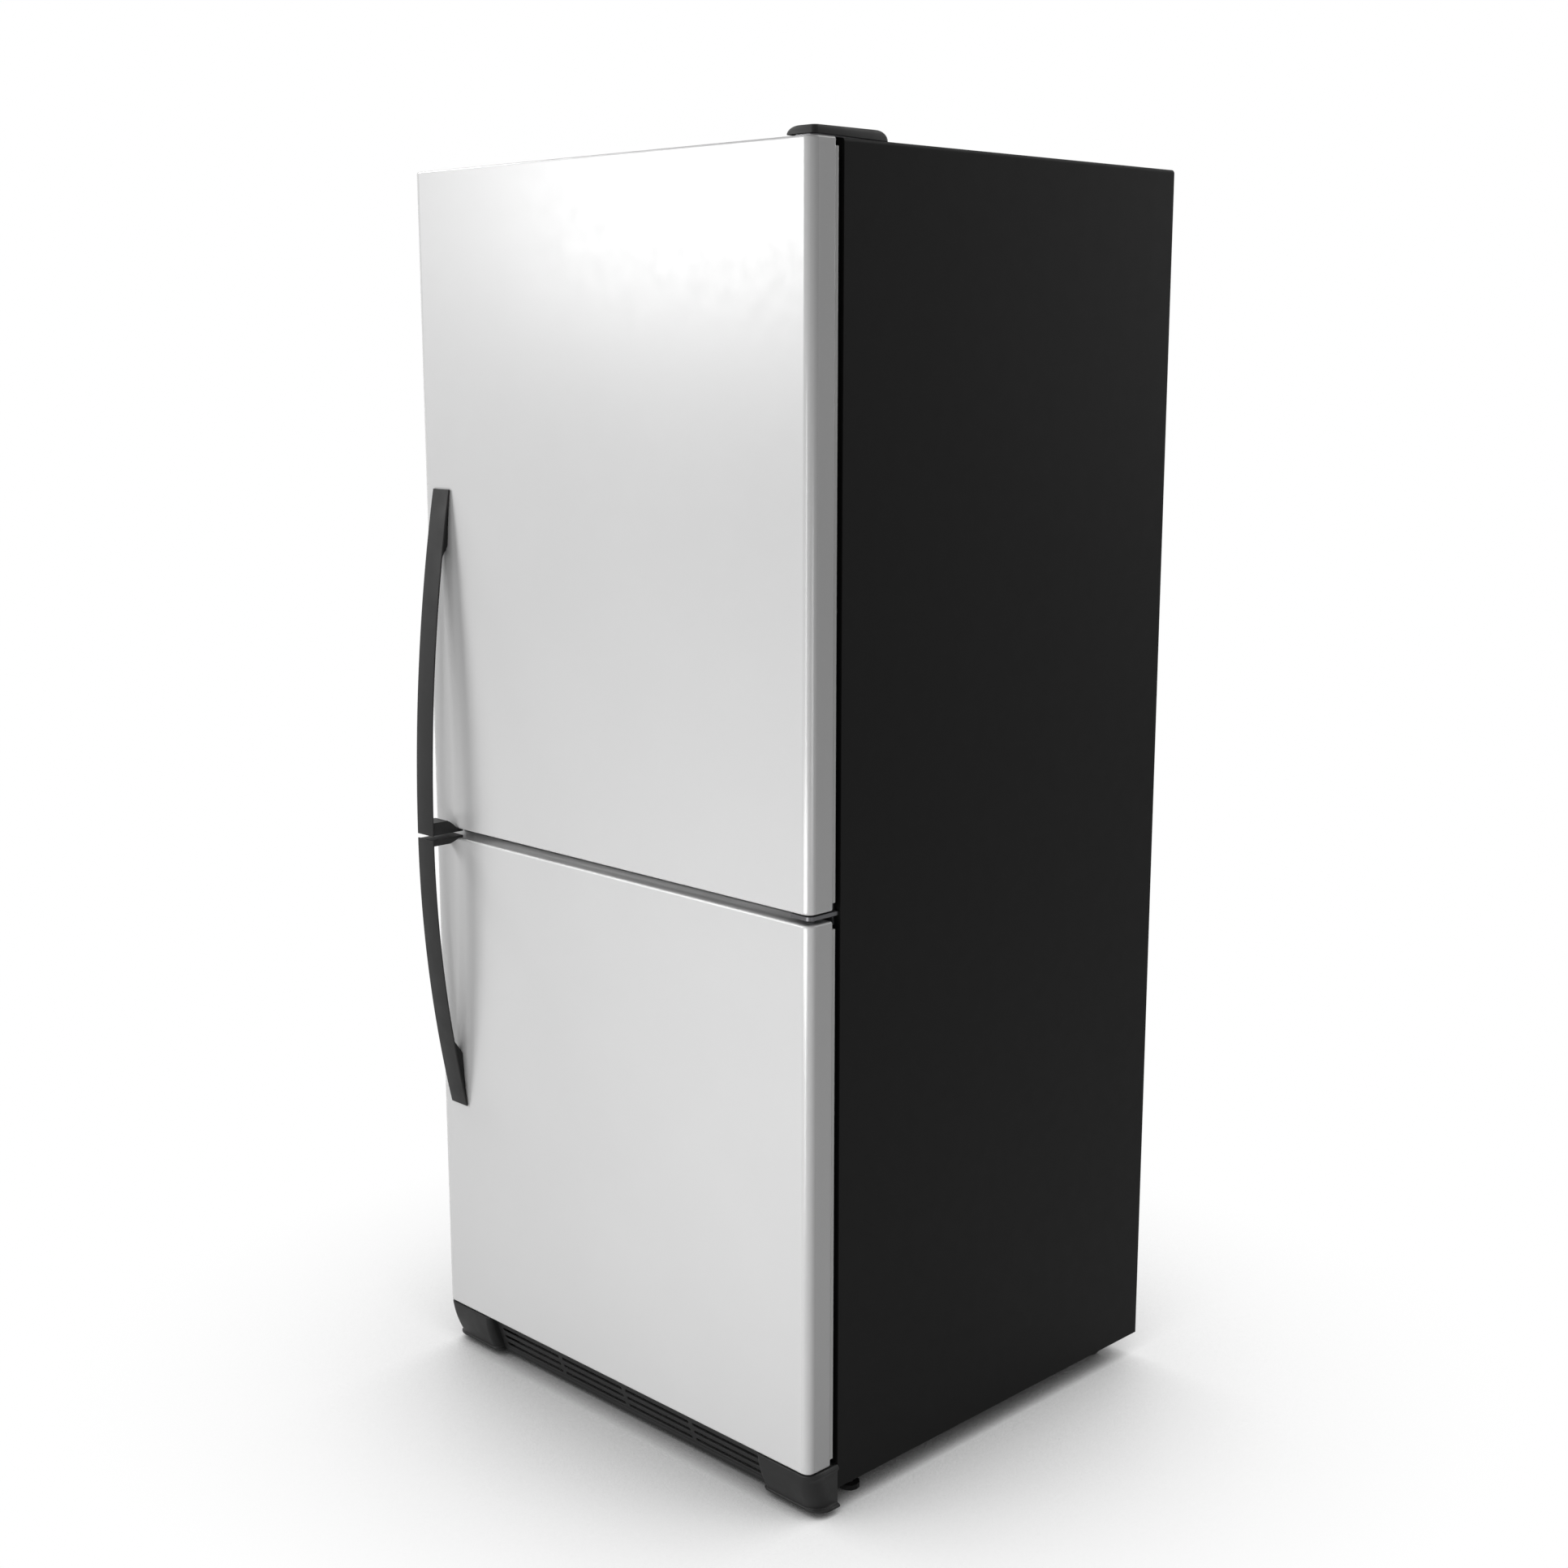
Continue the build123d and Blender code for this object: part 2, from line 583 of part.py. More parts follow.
# Liners: thin moulded rooms with a flange round the mouth
fridge_space = room_form(FRIDGE_ROOM, CABINET_FRONT - STEEL)
freezer_space = room_form(FREEZER_ROOM, CABINET_FRONT - STEEL, stepped=True)
MOUTH_FLANGE = ROOM_SIDE + LINER_FLANGE
SWITCH_X = ROOM_SIDE - SWITCH_BOSS / 2
SWITCH_BACK = CABINET_FRONT + SWITCH_LENGTH

with BuildPart() as fridge_liner:
    room_block(FRIDGE_ROOM, PLASTIC, CABINET_FRONT)
    flange_z = (FRIDGE_ROOM[0] - LINER_FLANGE, FRIDGE_ROOM[1] + LINER_FLANGE)
    block((-MOUTH_FLANGE, MOUTH_FLANGE), (CABINET_FRONT, CABINET_FRONT + PLASTIC), flange_z)
    add(fridge_space, mode=Mode.SUBTRACT)
    boss_z = (SWITCH_LEVEL - SWITCH_BOSS, SWITCH_LEVEL + SWITCH_BOSS)
    block((ROOM_SIDE - SWITCH_BOSS, ROOM_SIDE + STEEL), (CABINET_FRONT, SWITCH_BACK), boss_z)
    bore = SWITCH_HALF + RUN
    bore_y = (CABINET_FRONT - STEEL, SWITCH_BACK - PLASTIC)
    bore_z = (SWITCH_LEVEL - bore, SWITCH_LEVEL + bore)
    block((SWITCH_X - bore, SWITCH_X + bore), bore_y, bore_z, mode=Mode.SUBTRACT)
keep(fridge_liner, "fridge_liner")

with BuildPart() as freezer_liner:
    room_block(FREEZER_ROOM, PLASTIC, CABINET_FRONT, stepped=True)
    flange_z = (FREEZER_ROOM[0] - LINER_FLANGE, FREEZER_ROOM[1] + LINER_FLANGE)
    block((-MOUTH_FLANGE, MOUTH_FLANGE), (CABINET_FRONT, CABINET_FRONT + PLASTIC), flange_z)
    add(freezer_space, mode=Mode.SUBTRACT)
keep(freezer_liner, "freezer_liner")

# Foam: fills the walls between the sheets and the liners
with BuildPart() as insulation_foam:
    foam_front = CABINET_FRONT + PLASTIC + FIT
    foam_back = BACK_FACE - STEEL - FIT
    foam_top = DOOR_TOP - STEEL - FIT
    foam_floor = DECK + STEEL + FIT
    foam_step = MACHINE_TOP + STEEL + FIT
    with BuildSketch(Plane.YZ.offset(-INNER_SIDE)):
        with BuildLine():
            Polyline(
                (foam_front, foam_floor),
                (MACHINE_FRONT - FIT, foam_floor),
                (MACHINE_FRONT - FIT, foam_step),
                (foam_back, foam_step),
                (foam_back, foam_top),
                (foam_front, foam_top),
                close=True,
            )
        make_face()
    extrude(amount=2 * INNER_SIDE)
    fillet(insulation_foam.edges().filter_by(Axis.Y).group_by(Axis.Z)[-1], BEND)
    pocket = PLASTIC + FIT
    room_block(FRIDGE_ROOM, pocket, CABINET_FRONT, mode=Mode.SUBTRACT)
    room_block(FREEZER_ROOM, pocket, CABINET_FRONT, stepped=True, mode=Mode.SUBTRACT)
keep(insulation_foam, "insulation_foam")

# Mullion rail: strip that closes the front of the wall between the compartments
with BuildPart() as mullion_rail:
    rail_low = FREEZER_ROOM[1] + LINER_FLANGE + FIT
    rail_high = FRIDGE_ROOM[0] - LINER_FLANGE - FIT
    block((-sill, sill), (CABINET_FRONT, CABINET_FRONT + PLASTIC), (rail_low, rail_high))
keep(mullion_rail, "mullion_rail")


def shroud_form(inset):
    """Right corner shroud shrunk by `inset`: leaning face with rounded upright edges.

    The outside is bowed and filleted, and the hollow has a flat face and chamfers.
    """
    crown = (FRONT + inset, GRILLE_TOP - inset)
    toe = (FRONT + SHROUD_LEAN + inset, LIP_LEVEL)
    with BuildPart() as form:
        with BuildSketch(Plane.YZ.offset(SHROUD_INNER + inset)):
            with BuildLine():
                if inset:
                    Line(crown, toe)
                else:
                    middle = ((crown[0] + toe[0]) / 2 - SHROUD_BULGE, (crown[1] + toe[1]) / 2)
                    ThreePointArc(crown, middle, toe)
                Polyline(toe, (CABINET_FRONT, LIP_LEVEL), (CABINET_FRONT, crown[1]), crown)
            make_face()
        extrude(amount=SHROUD_WIDTH - 2 * inset)
        for end, radius in ((0, SHROUD_EDGE), (-1, SHROUD_CORNER)):
            flank = form.faces().filter_by(Axis.X).sort_by(Axis.X)[end]
            edge = flank.edges().sort_by(Axis.Y)[0]
            if inset:
                chamfer(edge, radius - inset)
            else:
                fillet(edge, radius)
    return form.part


# Toe grille: slotted plate set back between two hollow corner shrouds.
# Each shroud has a flared lip at its foot and a bead along the top of its side.
shroud_outside = shroud_form(0)
shroud_inside = shroud_form(GRILLE_WALL)
with BuildPart() as toe_grille:
    add(shroud_outside)
    with BuildSketch(Plane.XY.offset(LIP_LEVEL)):
        with BuildLine():
            lip_side = SIDE + LIP_FLARE
            lip_front = FRONT + SHROUD_LEAN - LIP_ROOT
            corners = ((SHROUD_INNER, lip_front), (lip_side, lip_front), (lip_side, CABINET_FRONT))
            FilletPolyline(*corners, radius=SHROUD_CORNER + LIP_FLARE)
            Polyline(corners[-1], (SHROUD_INNER, CABINET_FRONT), corners[0])
        make_face()
    extrude(amount=LIP_HEIGHT, taper=35)
    bead_start = FRONT + SHROUD_CORNER / 2
    bead_length = CABINET_FRONT - bead_start
    rod((SIDE, bead_start, DOOR_BASE - BEAD_DROP), (0, 1, 0), BEAD_RADIUS, bead_length)
    add(shroud_inside, mode=Mode.SUBTRACT)
    mirror(about=Plane.YZ)
    plate_half = SHROUD_INNER + GRILLE_WALL
    with BuildSketch(Plane.YZ.offset(-plate_half)):
        with BuildLine():
            crown, toe = FRONT + GRILLE_SETBACK, FRONT + GRILLE_SETBACK + GRILLE_LEAN
            Polyline((crown, GRILLE_TOP), (toe, LIP_LEVEL), (toe + GRILLE_WALL, LIP_LEVEL))
            Polyline((toe + GRILLE_WALL, LIP_LEVEL), (crown + GRILLE_WALL, GRILLE_TOP), (crown, GRILLE_TOP))
        make_face()
    extrude(amount=2 * plate_half)
    foot_y = (toe + STEEL, toe + 3 * GRILLE_WALL)
    block((-plate_half, plate_half), foot_y, (LIP_LEVEL, LIP_LEVEL + GRILLE_WALL))
    with BuildSketch(facing(FRONT)):
        with Locations((0, DOOR_BASE - SLOT_DROP - SLOT_PITCH * (SLOT_ROWS - 1) / 2)):
            with GridLocations(COLUMN_PITCH, SLOT_PITCH, SLOT_COLUMNS, SLOT_ROWS):
                Rectangle(COLUMN_PITCH - COLUMN_BAR, SLOT_HEIGHT)
    extrude(amount=FRONT - CABINET_FRONT, mode=Mode.SUBTRACT)
    pin_top = (HINGE_X, HINGE_Y, DOOR_BASE)
    rod(pin_top, (0, 0, -1), PIN_RADIUS + RUN, GRILLE_DROP + 2 * GRILLE_WALL, mode=Mode.SUBTRACT)
keep(toe_grille, "toe_grille")

# Hinges: plates with pins on one upright axis
COVER_RIGHT = SIDE - COVER_SIDE
COVER_LEFT = COVER_RIGHT - COVER_WIDTH
COVER_Y = (FRONT + COVER_FRONT, FRONT + COVER_FRONT + COVER_LENGTH)
PLATE_RIGHT = HINGE_X + PIN_RADIUS + HINGE_PLATE
PLATE_CORNER = PIN_RADIUS + HINGE_PLATE
TOP_PLATE = DOOR_TOP + RUN
with BuildPart() as top_hinge:
    with BuildSketch(Plane.XY.offset(TOP_PLATE)):
        with BuildLine():
            nose = HINGE_Y - PIN_RADIUS - STEEL
            left, tail = COVER_LEFT + COVER_LEFT_SLOPE + FIT, COVER_Y[1] - COVER_REAR_SLOPE - FIT
            FilletPolyline((left, nose), (PLATE_RIGHT, nose), (PLATE_RIGHT, tail), radius=PLATE_CORNER)
            Polyline((PLATE_RIGHT, tail), (left, tail), (left, nose))
        make_face()
    extrude(amount=HINGE_PLATE)
    rod((HINGE_X, HINGE_Y, TOP_PLATE), (0, 0, -1), PIN_RADIUS, PIN_LENGTH + RUN)
keep(top_hinge, "top_hinge")

# Hinge cover: upright at the front and right, falling in a curve to the left and the rear
COVER_CROWN = TOP_PLATE + COVER_HEIGHT
with BuildPart() as top_hinge_cover:
    with BuildSketch(Plane.YZ.offset(COVER_LEFT)):
        with BuildLine():
            near, far = COVER_Y
            slope = far - COVER_REAR_SLOPE
            TangentArc((slope, COVER_CROWN), (far, TOP_PLATE), tangent=(1, 0))
            Polyline((far, TOP_PLATE), (near, TOP_PLATE), (near, COVER_CROWN), (slope, COVER_CROWN))
        make_face()
    extrude(amount=COVER_WIDTH)
    with BuildSketch(facing(near)):
        with BuildLine():
            shoulder = COVER_LEFT + COVER_LEFT_SLOPE
            TangentArc((shoulder, COVER_CROWN), (COVER_LEFT, TOP_PLATE), tangent=(-1, 0))
            Polyline((COVER_LEFT, TOP_PLATE), (COVER_RIGHT, TOP_PLATE), (COVER_RIGHT, COVER_CROWN))
            Line((COVER_RIGHT, COVER_CROWN), (shoulder, COVER_CROWN))
        make_face()
    extrude(amount=near - far, mode=Mode.INTERSECT)
    corner = top_hinge_cover.edges().filter_by(Axis.Z).sort_by(Axis.Y)[0]
    fillet(corner, COVER_CORNER)
    hollow_x = (shoulder, COVER_RIGHT - PLASTIC)
    block(hollow_x, (near + PLASTIC, slope), (TOP_PLATE, COVER_CROWN - PLASTIC), mode=Mode.SUBTRACT)
keep(top_hinge_cover, "top_hinge_cover")

with BuildPart() as centre_hinge:
    flange_back = CABINET_FRONT - FIT
    flange_front = flange_back - HINGE_PLATE
    plate_low = FRIDGE_DOOR[0] - CENTRE_DROP - CENTRE_PLATE
    left, right = SIDE - CENTRE_LEFT, SIDE - CENTRE_SIDE
    with BuildSketch(Plane.XY.offset(plate_low)):
        with BuildLine():
            nose = HINGE_Y - HINGE_X + left
            FilletPolyline((left, nose), (right, nose), (right, flange_back), radius=PLATE_CORNER)
            Polyline((right, flange_back), (left, flange_back), (left, nose))
        make_face()
    extrude(amount=CENTRE_PLATE)
    flange_half = DOOR_GAP / 2 + RIM_INSET - PLASTIC
    flange_z = (GAP_LEVEL - flange_half, GAP_LEVEL + flange_half)
    block((left - CENTRE_LEFT, PLATE_RIGHT), (flange_front, flange_back), flange_z)
    pin_reach = DOOR_GAP / 2 + PIN_LENGTH
    rod((HINGE_X, HINGE_Y, GAP_LEVEL - pin_reach), (0, 0, 1), PIN_RADIUS, 2 * pin_reach)
keep(centre_hinge, "centre_hinge")

# Bottom hinge: its plate hides under the shroud's top and its leaf stands on the base frame
BOTTOM_PLATE = GRILLE_TOP - GRILLE_WALL - RUN - HINGE_PLATE
LEAF_RIGHT = SIDE - FLANGE - FIT
LEAF_LEFT = LEAF_RIGHT - LEAF_WIDTH
with BuildPart() as bottom_hinge:
    flange_back = CHANNEL_FRONT - FIT
    flange_front = flange_back - HINGE_PLATE
    with BuildSketch(Plane.XY.offset(BOTTOM_PLATE)):
        with BuildLine():
            nose = HINGE_Y - PLATE_CORNER
            bend = CABINET_FRONT - FIT
            FilletPolyline((LEAF_LEFT, nose), (PLATE_RIGHT, nose), (PLATE_RIGHT, bend), radius=PLATE_CORNER)
            Polyline((PLATE_RIGHT, bend), (LEAF_RIGHT, bend), (LEAF_RIGHT, flange_back))
            Polyline((LEAF_RIGHT, flange_back), (LEAF_LEFT, flange_back), (LEAF_LEFT, nose))
        make_face()
    extrude(amount=HINGE_PLATE)
    leaf_z = (CABINET_BASE + HINGE_PLATE, BOTTOM_PLATE + STEEL)
    block((LEAF_LEFT, LEAF_RIGHT), (flange_front, flange_back), leaf_z)
    rod((HINGE_X, HINGE_Y, BOTTOM_PLATE), (0, 0, 1), PIN_RADIUS, DOOR_BASE - BOTTOM_PLATE + PIN_LENGTH)
keep(bottom_hinge, "bottom_hinge")

# Machine space: compressor, condenser, fans, drain pan and slotted rear cover
with BuildPart() as compressor:
    base = BASE_FLOOR + GROMMET
    can_foot = (COMPRESSOR_X, FAN_DEPTH_AT, base)
    rod(can_foot, (0, 0, 1), COMPRESSOR_RADIUS, COMPRESSOR_HEIGHT, sides=COMPRESSOR_SIDES)
    chamfer(compressor.edges().group_by(Axis.Z)[-1], COMPRESSOR_DOME)
    foot_plate = (COMPRESSOR_X - COMPRESSOR_RADIUS, COMPRESSOR_X + COMPRESSOR_RADIUS)
    plate_depth = (FAN_DEPTH_AT - COMPRESSOR_RADIUS, FAN_DEPTH_AT + COMPRESSOR_RADIUS)
    block(foot_plate, plate_depth, (base, base + HINGE_PLATE))
    with BuildSketch(Plane.XY.offset(BASE_FLOOR)):
        with Locations((COMPRESSOR_X, FAN_DEPTH_AT)):
            with GridLocations(1.7 * COMPRESSOR_RADIUS, 1.7 * COMPRESSOR_RADIUS, 2, 2):
                RegularPolygon(GROMMET, 6)
    extrude(amount=GROMMET)
keep(compressor, "compressor")

CONDENSER_BOX = (
    (CONDENSER_X - CONDENSER_WIDTH / 2, CONDENSER_X + CONDENSER_WIDTH / 2),
    (MACHINE_FRONT + GROMMET, BACK_FACE - 2 * GROMMET),
    (CONDENSER_LEVEL, CONDENSER_LEVEL + CONDENSER_HEIGHT),
)
condenser_form = coil(*CONDENSER_BOX, FIN_COUNT)
with BuildPart() as condenser_coil:
    add(condenser_form)
    for edge in CONDENSER_BOX[0]:
        foot = sorted((edge, edge + (FIN if edge < CONDENSER_X else -FIN)))
        block(foot, CONDENSER_BOX[1], (BASE_FLOOR + FIT, CONDENSER_LEVEL + FIN))
keep(condenser_coil, "condenser_coil")

PAN_TOP = CONDENSER_LEVEL - GROMMET
with BuildPart() as drain_pan:
    for inset, mode in ((0, Mode.ADD), (PLASTIC, Mode.SUBTRACT)):
        pan_x = (CONDENSER_BOX[0][0] + 2 * FIN + inset, CONDENSER_BOX[0][1] - 2 * FIN - inset)
        pan_y = (CONDENSER_BOX[1][0] + inset, CONDENSER_BOX[1][1] - inset)
        block(pan_x, pan_y, (BASE_FLOOR + FIT + inset, PAN_TOP), mode=mode)
keep(drain_pan, "drain_pan")

COVER_TOP = MACHINE_TOP - FIT
with BuildPart() as machine_cover:
    cover_y = (BACK_FACE - PLASTIC, BACK_FACE)
    block((-INNER_SIDE, INNER_SIDE), cover_y, (CABINET_BASE + STEEL, COVER_TOP))
    with BuildSketch(behind(BACK_FACE - 2 * PLASTIC)):
        with Locations((-CONDENSER_X, 0.6 * MACHINE_TOP), (-COMPRESSOR_X, 0.6 * MACHINE_TOP)):
            with GridLocations(0, LOUVRE_PITCH, 1, LOUVRE_COUNT):
                Rectangle(CONDENSER_WIDTH, LOUVRE)
    extrude(amount=3 * PLASTIC, mode=Mode.SUBTRACT)
    gland = (0, BACK_FACE - 2 * PLASTIC, FAN_LEVEL / 2)
    rod((0, BACK_FACE - PLASTIC, FAN_LEVEL / 2), (0, 1, 0), GLAND_RADIUS + 2 * PLASTIC, 2 * PLASTIC, sides=6)
    rod(gland, (0, 1, 0), GLAND_RADIUS, 4 * PLASTIC, mode=Mode.SUBTRACT, sides=12)
keep(machine_cover, "machine_cover")

# Evaporator behind its cover in the freezer, with a fan at the top
COVER_HALF = ROOM_SIDE - COVER_SIDE_GAP
COVER_Z = (STEP_TOP + COVER_END_GAP, FREEZER_ROOM[1] - COVER_END_GAP)
EVAPORATOR_FAN_Z = COVER_Z[1] - EVAPORATOR_FAN_DROP
EVAPORATOR_FAN_Y = EVAPORATOR_FRONT + PLASTIC + FAN_WIDTH / 2 + PLASTIC
with BuildPart() as evaporator_cover:
    block((-COVER_HALF, COVER_HALF), (EVAPORATOR_FRONT, ROOM_BACK - FIT), COVER_Z)
    inner_half = COVER_HALF - PLASTIC
    inner_z = (COVER_Z[0] + PLASTIC, COVER_Z[1] - PLASTIC)
    block((-inner_half, inner_half), (EVAPORATOR_FRONT + PLASTIC, ROOM_BACK), inner_z, mode=Mode.SUBTRACT)
    hub_at = (0, EVAPORATOR_FRONT - PLASTIC, EVAPORATOR_FAN_Z)
    rod(hub_at, (0, 1, 0), EVAPORATOR_FAN_RADIUS, 3 * PLASTIC, mode=Mode.SUBTRACT, sides=FAN_OPENING_SIDES)
    with BuildSketch(facing(EVAPORATOR_FRONT - PLASTIC)):
        with Locations((0, COVER_Z[0] + 2 * GROMMET)):
            with GridLocations(COVER_HALF / 3, 0, 5, 1):
                Rectangle(COVER_HALF / 4, GROMMET)
    extrude(amount=-3 * PLASTIC, mode=Mode.SUBTRACT)
keep(evaporator_cover, "evaporator_cover")

EVAPORATOR_TOP = EVAPORATOR_FAN_Z - EVAPORATOR_FAN_RADIUS - GROMMET
evaporator_form = coil(
    (-COVER_HALF + PLASTIC + FIT, COVER_HALF - PLASTIC - FIT),
    (EVAPORATOR_FRONT + 2 * PLASTIC, ROOM_BACK - 2 * FIT),
    (COVER_Z[0] + PLASTIC + FIT, EVAPORATOR_TOP),
    FIN_COUNT,
)
with BuildPart() as evaporator_coil:
    add(evaporator_form)
keep(evaporator_coil, "evaporator_coil")

condenser_fan_form = fan((FAN_X, FAN_DEPTH_AT, FAN_LEVEL), (1, 0, 0), FAN_RADIUS, FAN_WIDTH, FAN_HUB)
with BuildPart() as condenser_fan:
    add(condenser_fan_form)
keep(condenser_fan, "condenser_fan")

evaporator_fan_form = fan(
    (0, EVAPORATOR_FAN_Y, EVAPORATOR_FAN_Z),
    (0, -1, 0),
    EVAPORATOR_FAN_RADIUS - 2 * PLASTIC,
    FAN_WIDTH,
    FAN_HUB,
)
with BuildPart() as evaporator_fan:
    add(evaporator_fan_form)
keep(evaporator_fan, "evaporator_fan")

# Fan motors: one on a bracket from the machine floor, one on the freezer's back wall
with BuildPart() as fan_motors:
    face = FAN_X - FAN_WIDTH / 2 - PLASTIC
    motor_y = (FAN_DEPTH_AT - MOTOR_HALF, FAN_DEPTH_AT + MOTOR_HALF)
    block((face - MOTOR_LENGTH, face), motor_y, (FAN_LEVEL - MOTOR_HALF, FAN_LEVEL + MOTOR_HALF))
    rod((face, FAN_DEPTH_AT, FAN_LEVEL), (1, 0, 0), MOTOR_SHAFT, FAN_WIDTH - PLASTIC, sides=FLATS)
    arm = (FAN_DEPTH_AT - GROMMET, FAN_DEPTH_AT + GROMMET)
    block((face - MOTOR_LENGTH, face - MOTOR_LENGTH + PLASTIC), arm, (BASE_FLOOR + FIT, FAN_LEVEL))
    block((face - 2 * MOTOR_LENGTH, face), arm, (BASE_FLOOR + FIT, BASE_FLOOR + FIT + PLASTIC))
    face = EVAPORATOR_FAN_Y + FAN_WIDTH / 2 + PLASTIC
    motor_z = (EVAPORATOR_FAN_Z - MOTOR_HALF, EVAPORATOR_FAN_Z + MOTOR_HALF)
    block((-MOTOR_HALF, MOTOR_HALF), (face, ROOM_BACK - FIT), motor_z)
    rod((0, face, EVAPORATOR_FAN_Z), (0, -1, 0), MOTOR_SHAFT, FAN_WIDTH - PLASTIC, sides=FLATS)
keep(fan_motors, "fan_motors")

# Controls on the fridge ceiling
HOUSING_FRONT = CABINET_FRONT + HOUSING_SETBACK
HOUSING_LOW = FRIDGE_ROOM[1] - FIT - HOUSING_HEIGHT
DIAL_LEVEL = HOUSING_LOW + HOUSING_HEIGHT / 2
with BuildPart() as control_housing:
    for inset, mode in ((0, Mode.ADD), (PLASTIC, Mode.SUBTRACT)):
        with BuildSketch(Plane.YZ.offset(-HOUSING_HALF + inset)):
            with BuildLine():
                near, far = HOUSING_FRONT + inset, HOUSING_FRONT + HOUSING_DEPTH - inset
                low, high = HOUSING_LOW + inset, HOUSING_LOW + HOUSING_HEIGHT
                corners = ((near, high), (near, low), (far, (low + high) / 2), (far, high))
                if inset:
                    Polyline(*corners)
                else:
                    FilletPolyline(*corners, radius=2 * PLASTIC)
                Line(corners[-1], corners[0])
            make_face()
        extrude(amount=2 * (HOUSING_HALF - inset), mode=mode)
    for side in (-1, 1):
        stem_at = (side * DIAL_X, HOUSING_FRONT - STEEL, DIAL_LEVEL)
        rod(stem_at, (0, 1, 0), DIAL_STEM + PIN_FIT, 2 * PLASTIC, mode=Mode.SUBTRACT)
keep(control_housing, "control_housing")


def dial(x):
    """Fluted dial with a raised grip bar and a stem through the housing."""
    with BuildPart() as form:
        with BuildSketch(facing(HOUSING_FRONT - RUN)):
            with Locations((x, DIAL_LEVEL)):
                RegularPolygon(DIAL_RADIUS, DIAL_FLUTES)
        extrude(amount=DIAL_DEPTH / 2)
        with BuildSketch(facing(HOUSING_FRONT - RUN)):
            with Locations((x, DIAL_LEVEL)):
                Rectangle(DIAL_RADIUS / 2, 1.7 * DIAL_RADIUS)
        extrude(amount=DIAL_DEPTH)
        rod((x, HOUSING_FRONT - 2 * RUN, DIAL_LEVEL), (0, 1, 0), DIAL_STEM, 4 * PLASTIC, sides=FLATS)
    return form.part


for name, x in (("fridge_dial", -DIAL_X), ("freezer_dial", DIAL_X)):
    dial_form = dial(x)
    with BuildPart() as dial_piece:
        add(dial_form)
    keep(dial_piece, name)

LENS_FRONT = HOUSING_FRONT + HOUSING_DEPTH + FIT
with BuildPart() as lamp_lens:
    lens_top = FRIDGE_ROOM[1] - FIT
    for inset, mode in ((0, Mode.ADD), (PLASTIC, Mode.SUBTRACT)):
        lens_half = LENS_HALF - inset
        lens_y = (LENS_FRONT + inset, LENS_FRONT + LENS_DEPTH - inset)
        block((-lens_half, lens_half), lens_y, (lens_top - LENS_HEIGHT + inset, lens_top), mode=mode)
        if mode == Mode.ADD:
            chamfer(lamp_lens.edges().group_by(Axis.Z)[0], LENS_EDGE)
keep(lamp_lens, "lamp_lens")

with BuildPart() as light_switch:
    plunger_y = (RIM_BACK + RUN, SWITCH_BACK - 2 * PLASTIC - 2 * RUN)
    plunger_z = (SWITCH_LEVEL - SWITCH_HALF, SWITCH_LEVEL + SWITCH_HALF)
    block((SWITCH_X - SWITCH_HALF, SWITCH_X + SWITCH_HALF), plunger_y, plunger_z)
keep(light_switch, "light_switch")

# Shelves: tracks on the back wall, framed panes on cantilever brackets
with BuildPart() as shelf_tracks:
    track_z = (COVER_LEVEL + 3 * SHELF_HEIGHT, FRIDGE_ROOM[1] - 3 * SHELF_HEIGHT)
    for x in (-TRACK_X, TRACK_X):
        track_x = (x - TRACK_WIDTH / 2, x + TRACK_WIDTH / 2)
        block(track_x, (TRACK_FACE, ROOM_BACK - FIT), track_z)
        for shelf in SHELF_LEVELS:
            for drop in (-BRACKET_HEIGHT + SHELF_HEIGHT, 0, TRACK_PITCH):
                slot_z = (shelf + drop - GROMMET / 2, shelf + drop + GROMMET / 2)
                slot_x = (x - BRACKET_THICK, x + BRACKET_THICK)
                block(slot_x, (TRACK_FACE - STEEL, TRACK_FACE + TRACK_DEPTH / 2), slot_z, mode=Mode.SUBTRACT)
keep(shelf_tracks, "shelf_tracks")


def pane_frame(half, back, low, border):
    """Border round a pane, with a rebate that the pane drops into."""
    block((-half, half), (SHELF_FRONT, back), (low, low + SHELF_HEIGHT))
    opening = half - border
    mouth = (SHELF_FRONT + border, back - border)
    block((-opening, opening), mouth, (low - STEEL, low + 2 * SHELF_HEIGHT), mode=Mode.SUBTRACT)
    seat = opening + GLASS_SEAT
    rebate = (mouth[0] - GLASS_SEAT, mouth[1] + GLASS_SEAT)
    seat_z = (low + SHELF_HEIGHT - GLASS - FIT, low + 2 * SHELF_HEIGHT)
    block((-seat, seat), rebate, seat_z, mode=Mode.SUBTRACT)


def pane(half, back, low, border):
    """Glass that fills a frame's rebate."""
    wide = half - border + GLASS_SEAT - FIT
    deep = (SHELF_FRONT + border - GLASS_SEAT + FIT, back - border + GLASS_SEAT - FIT)
    block((-wide, wide), deep, (low + SHELF_HEIGHT - GLASS - FIT, low + SHELF_HEIGHT - FIT))


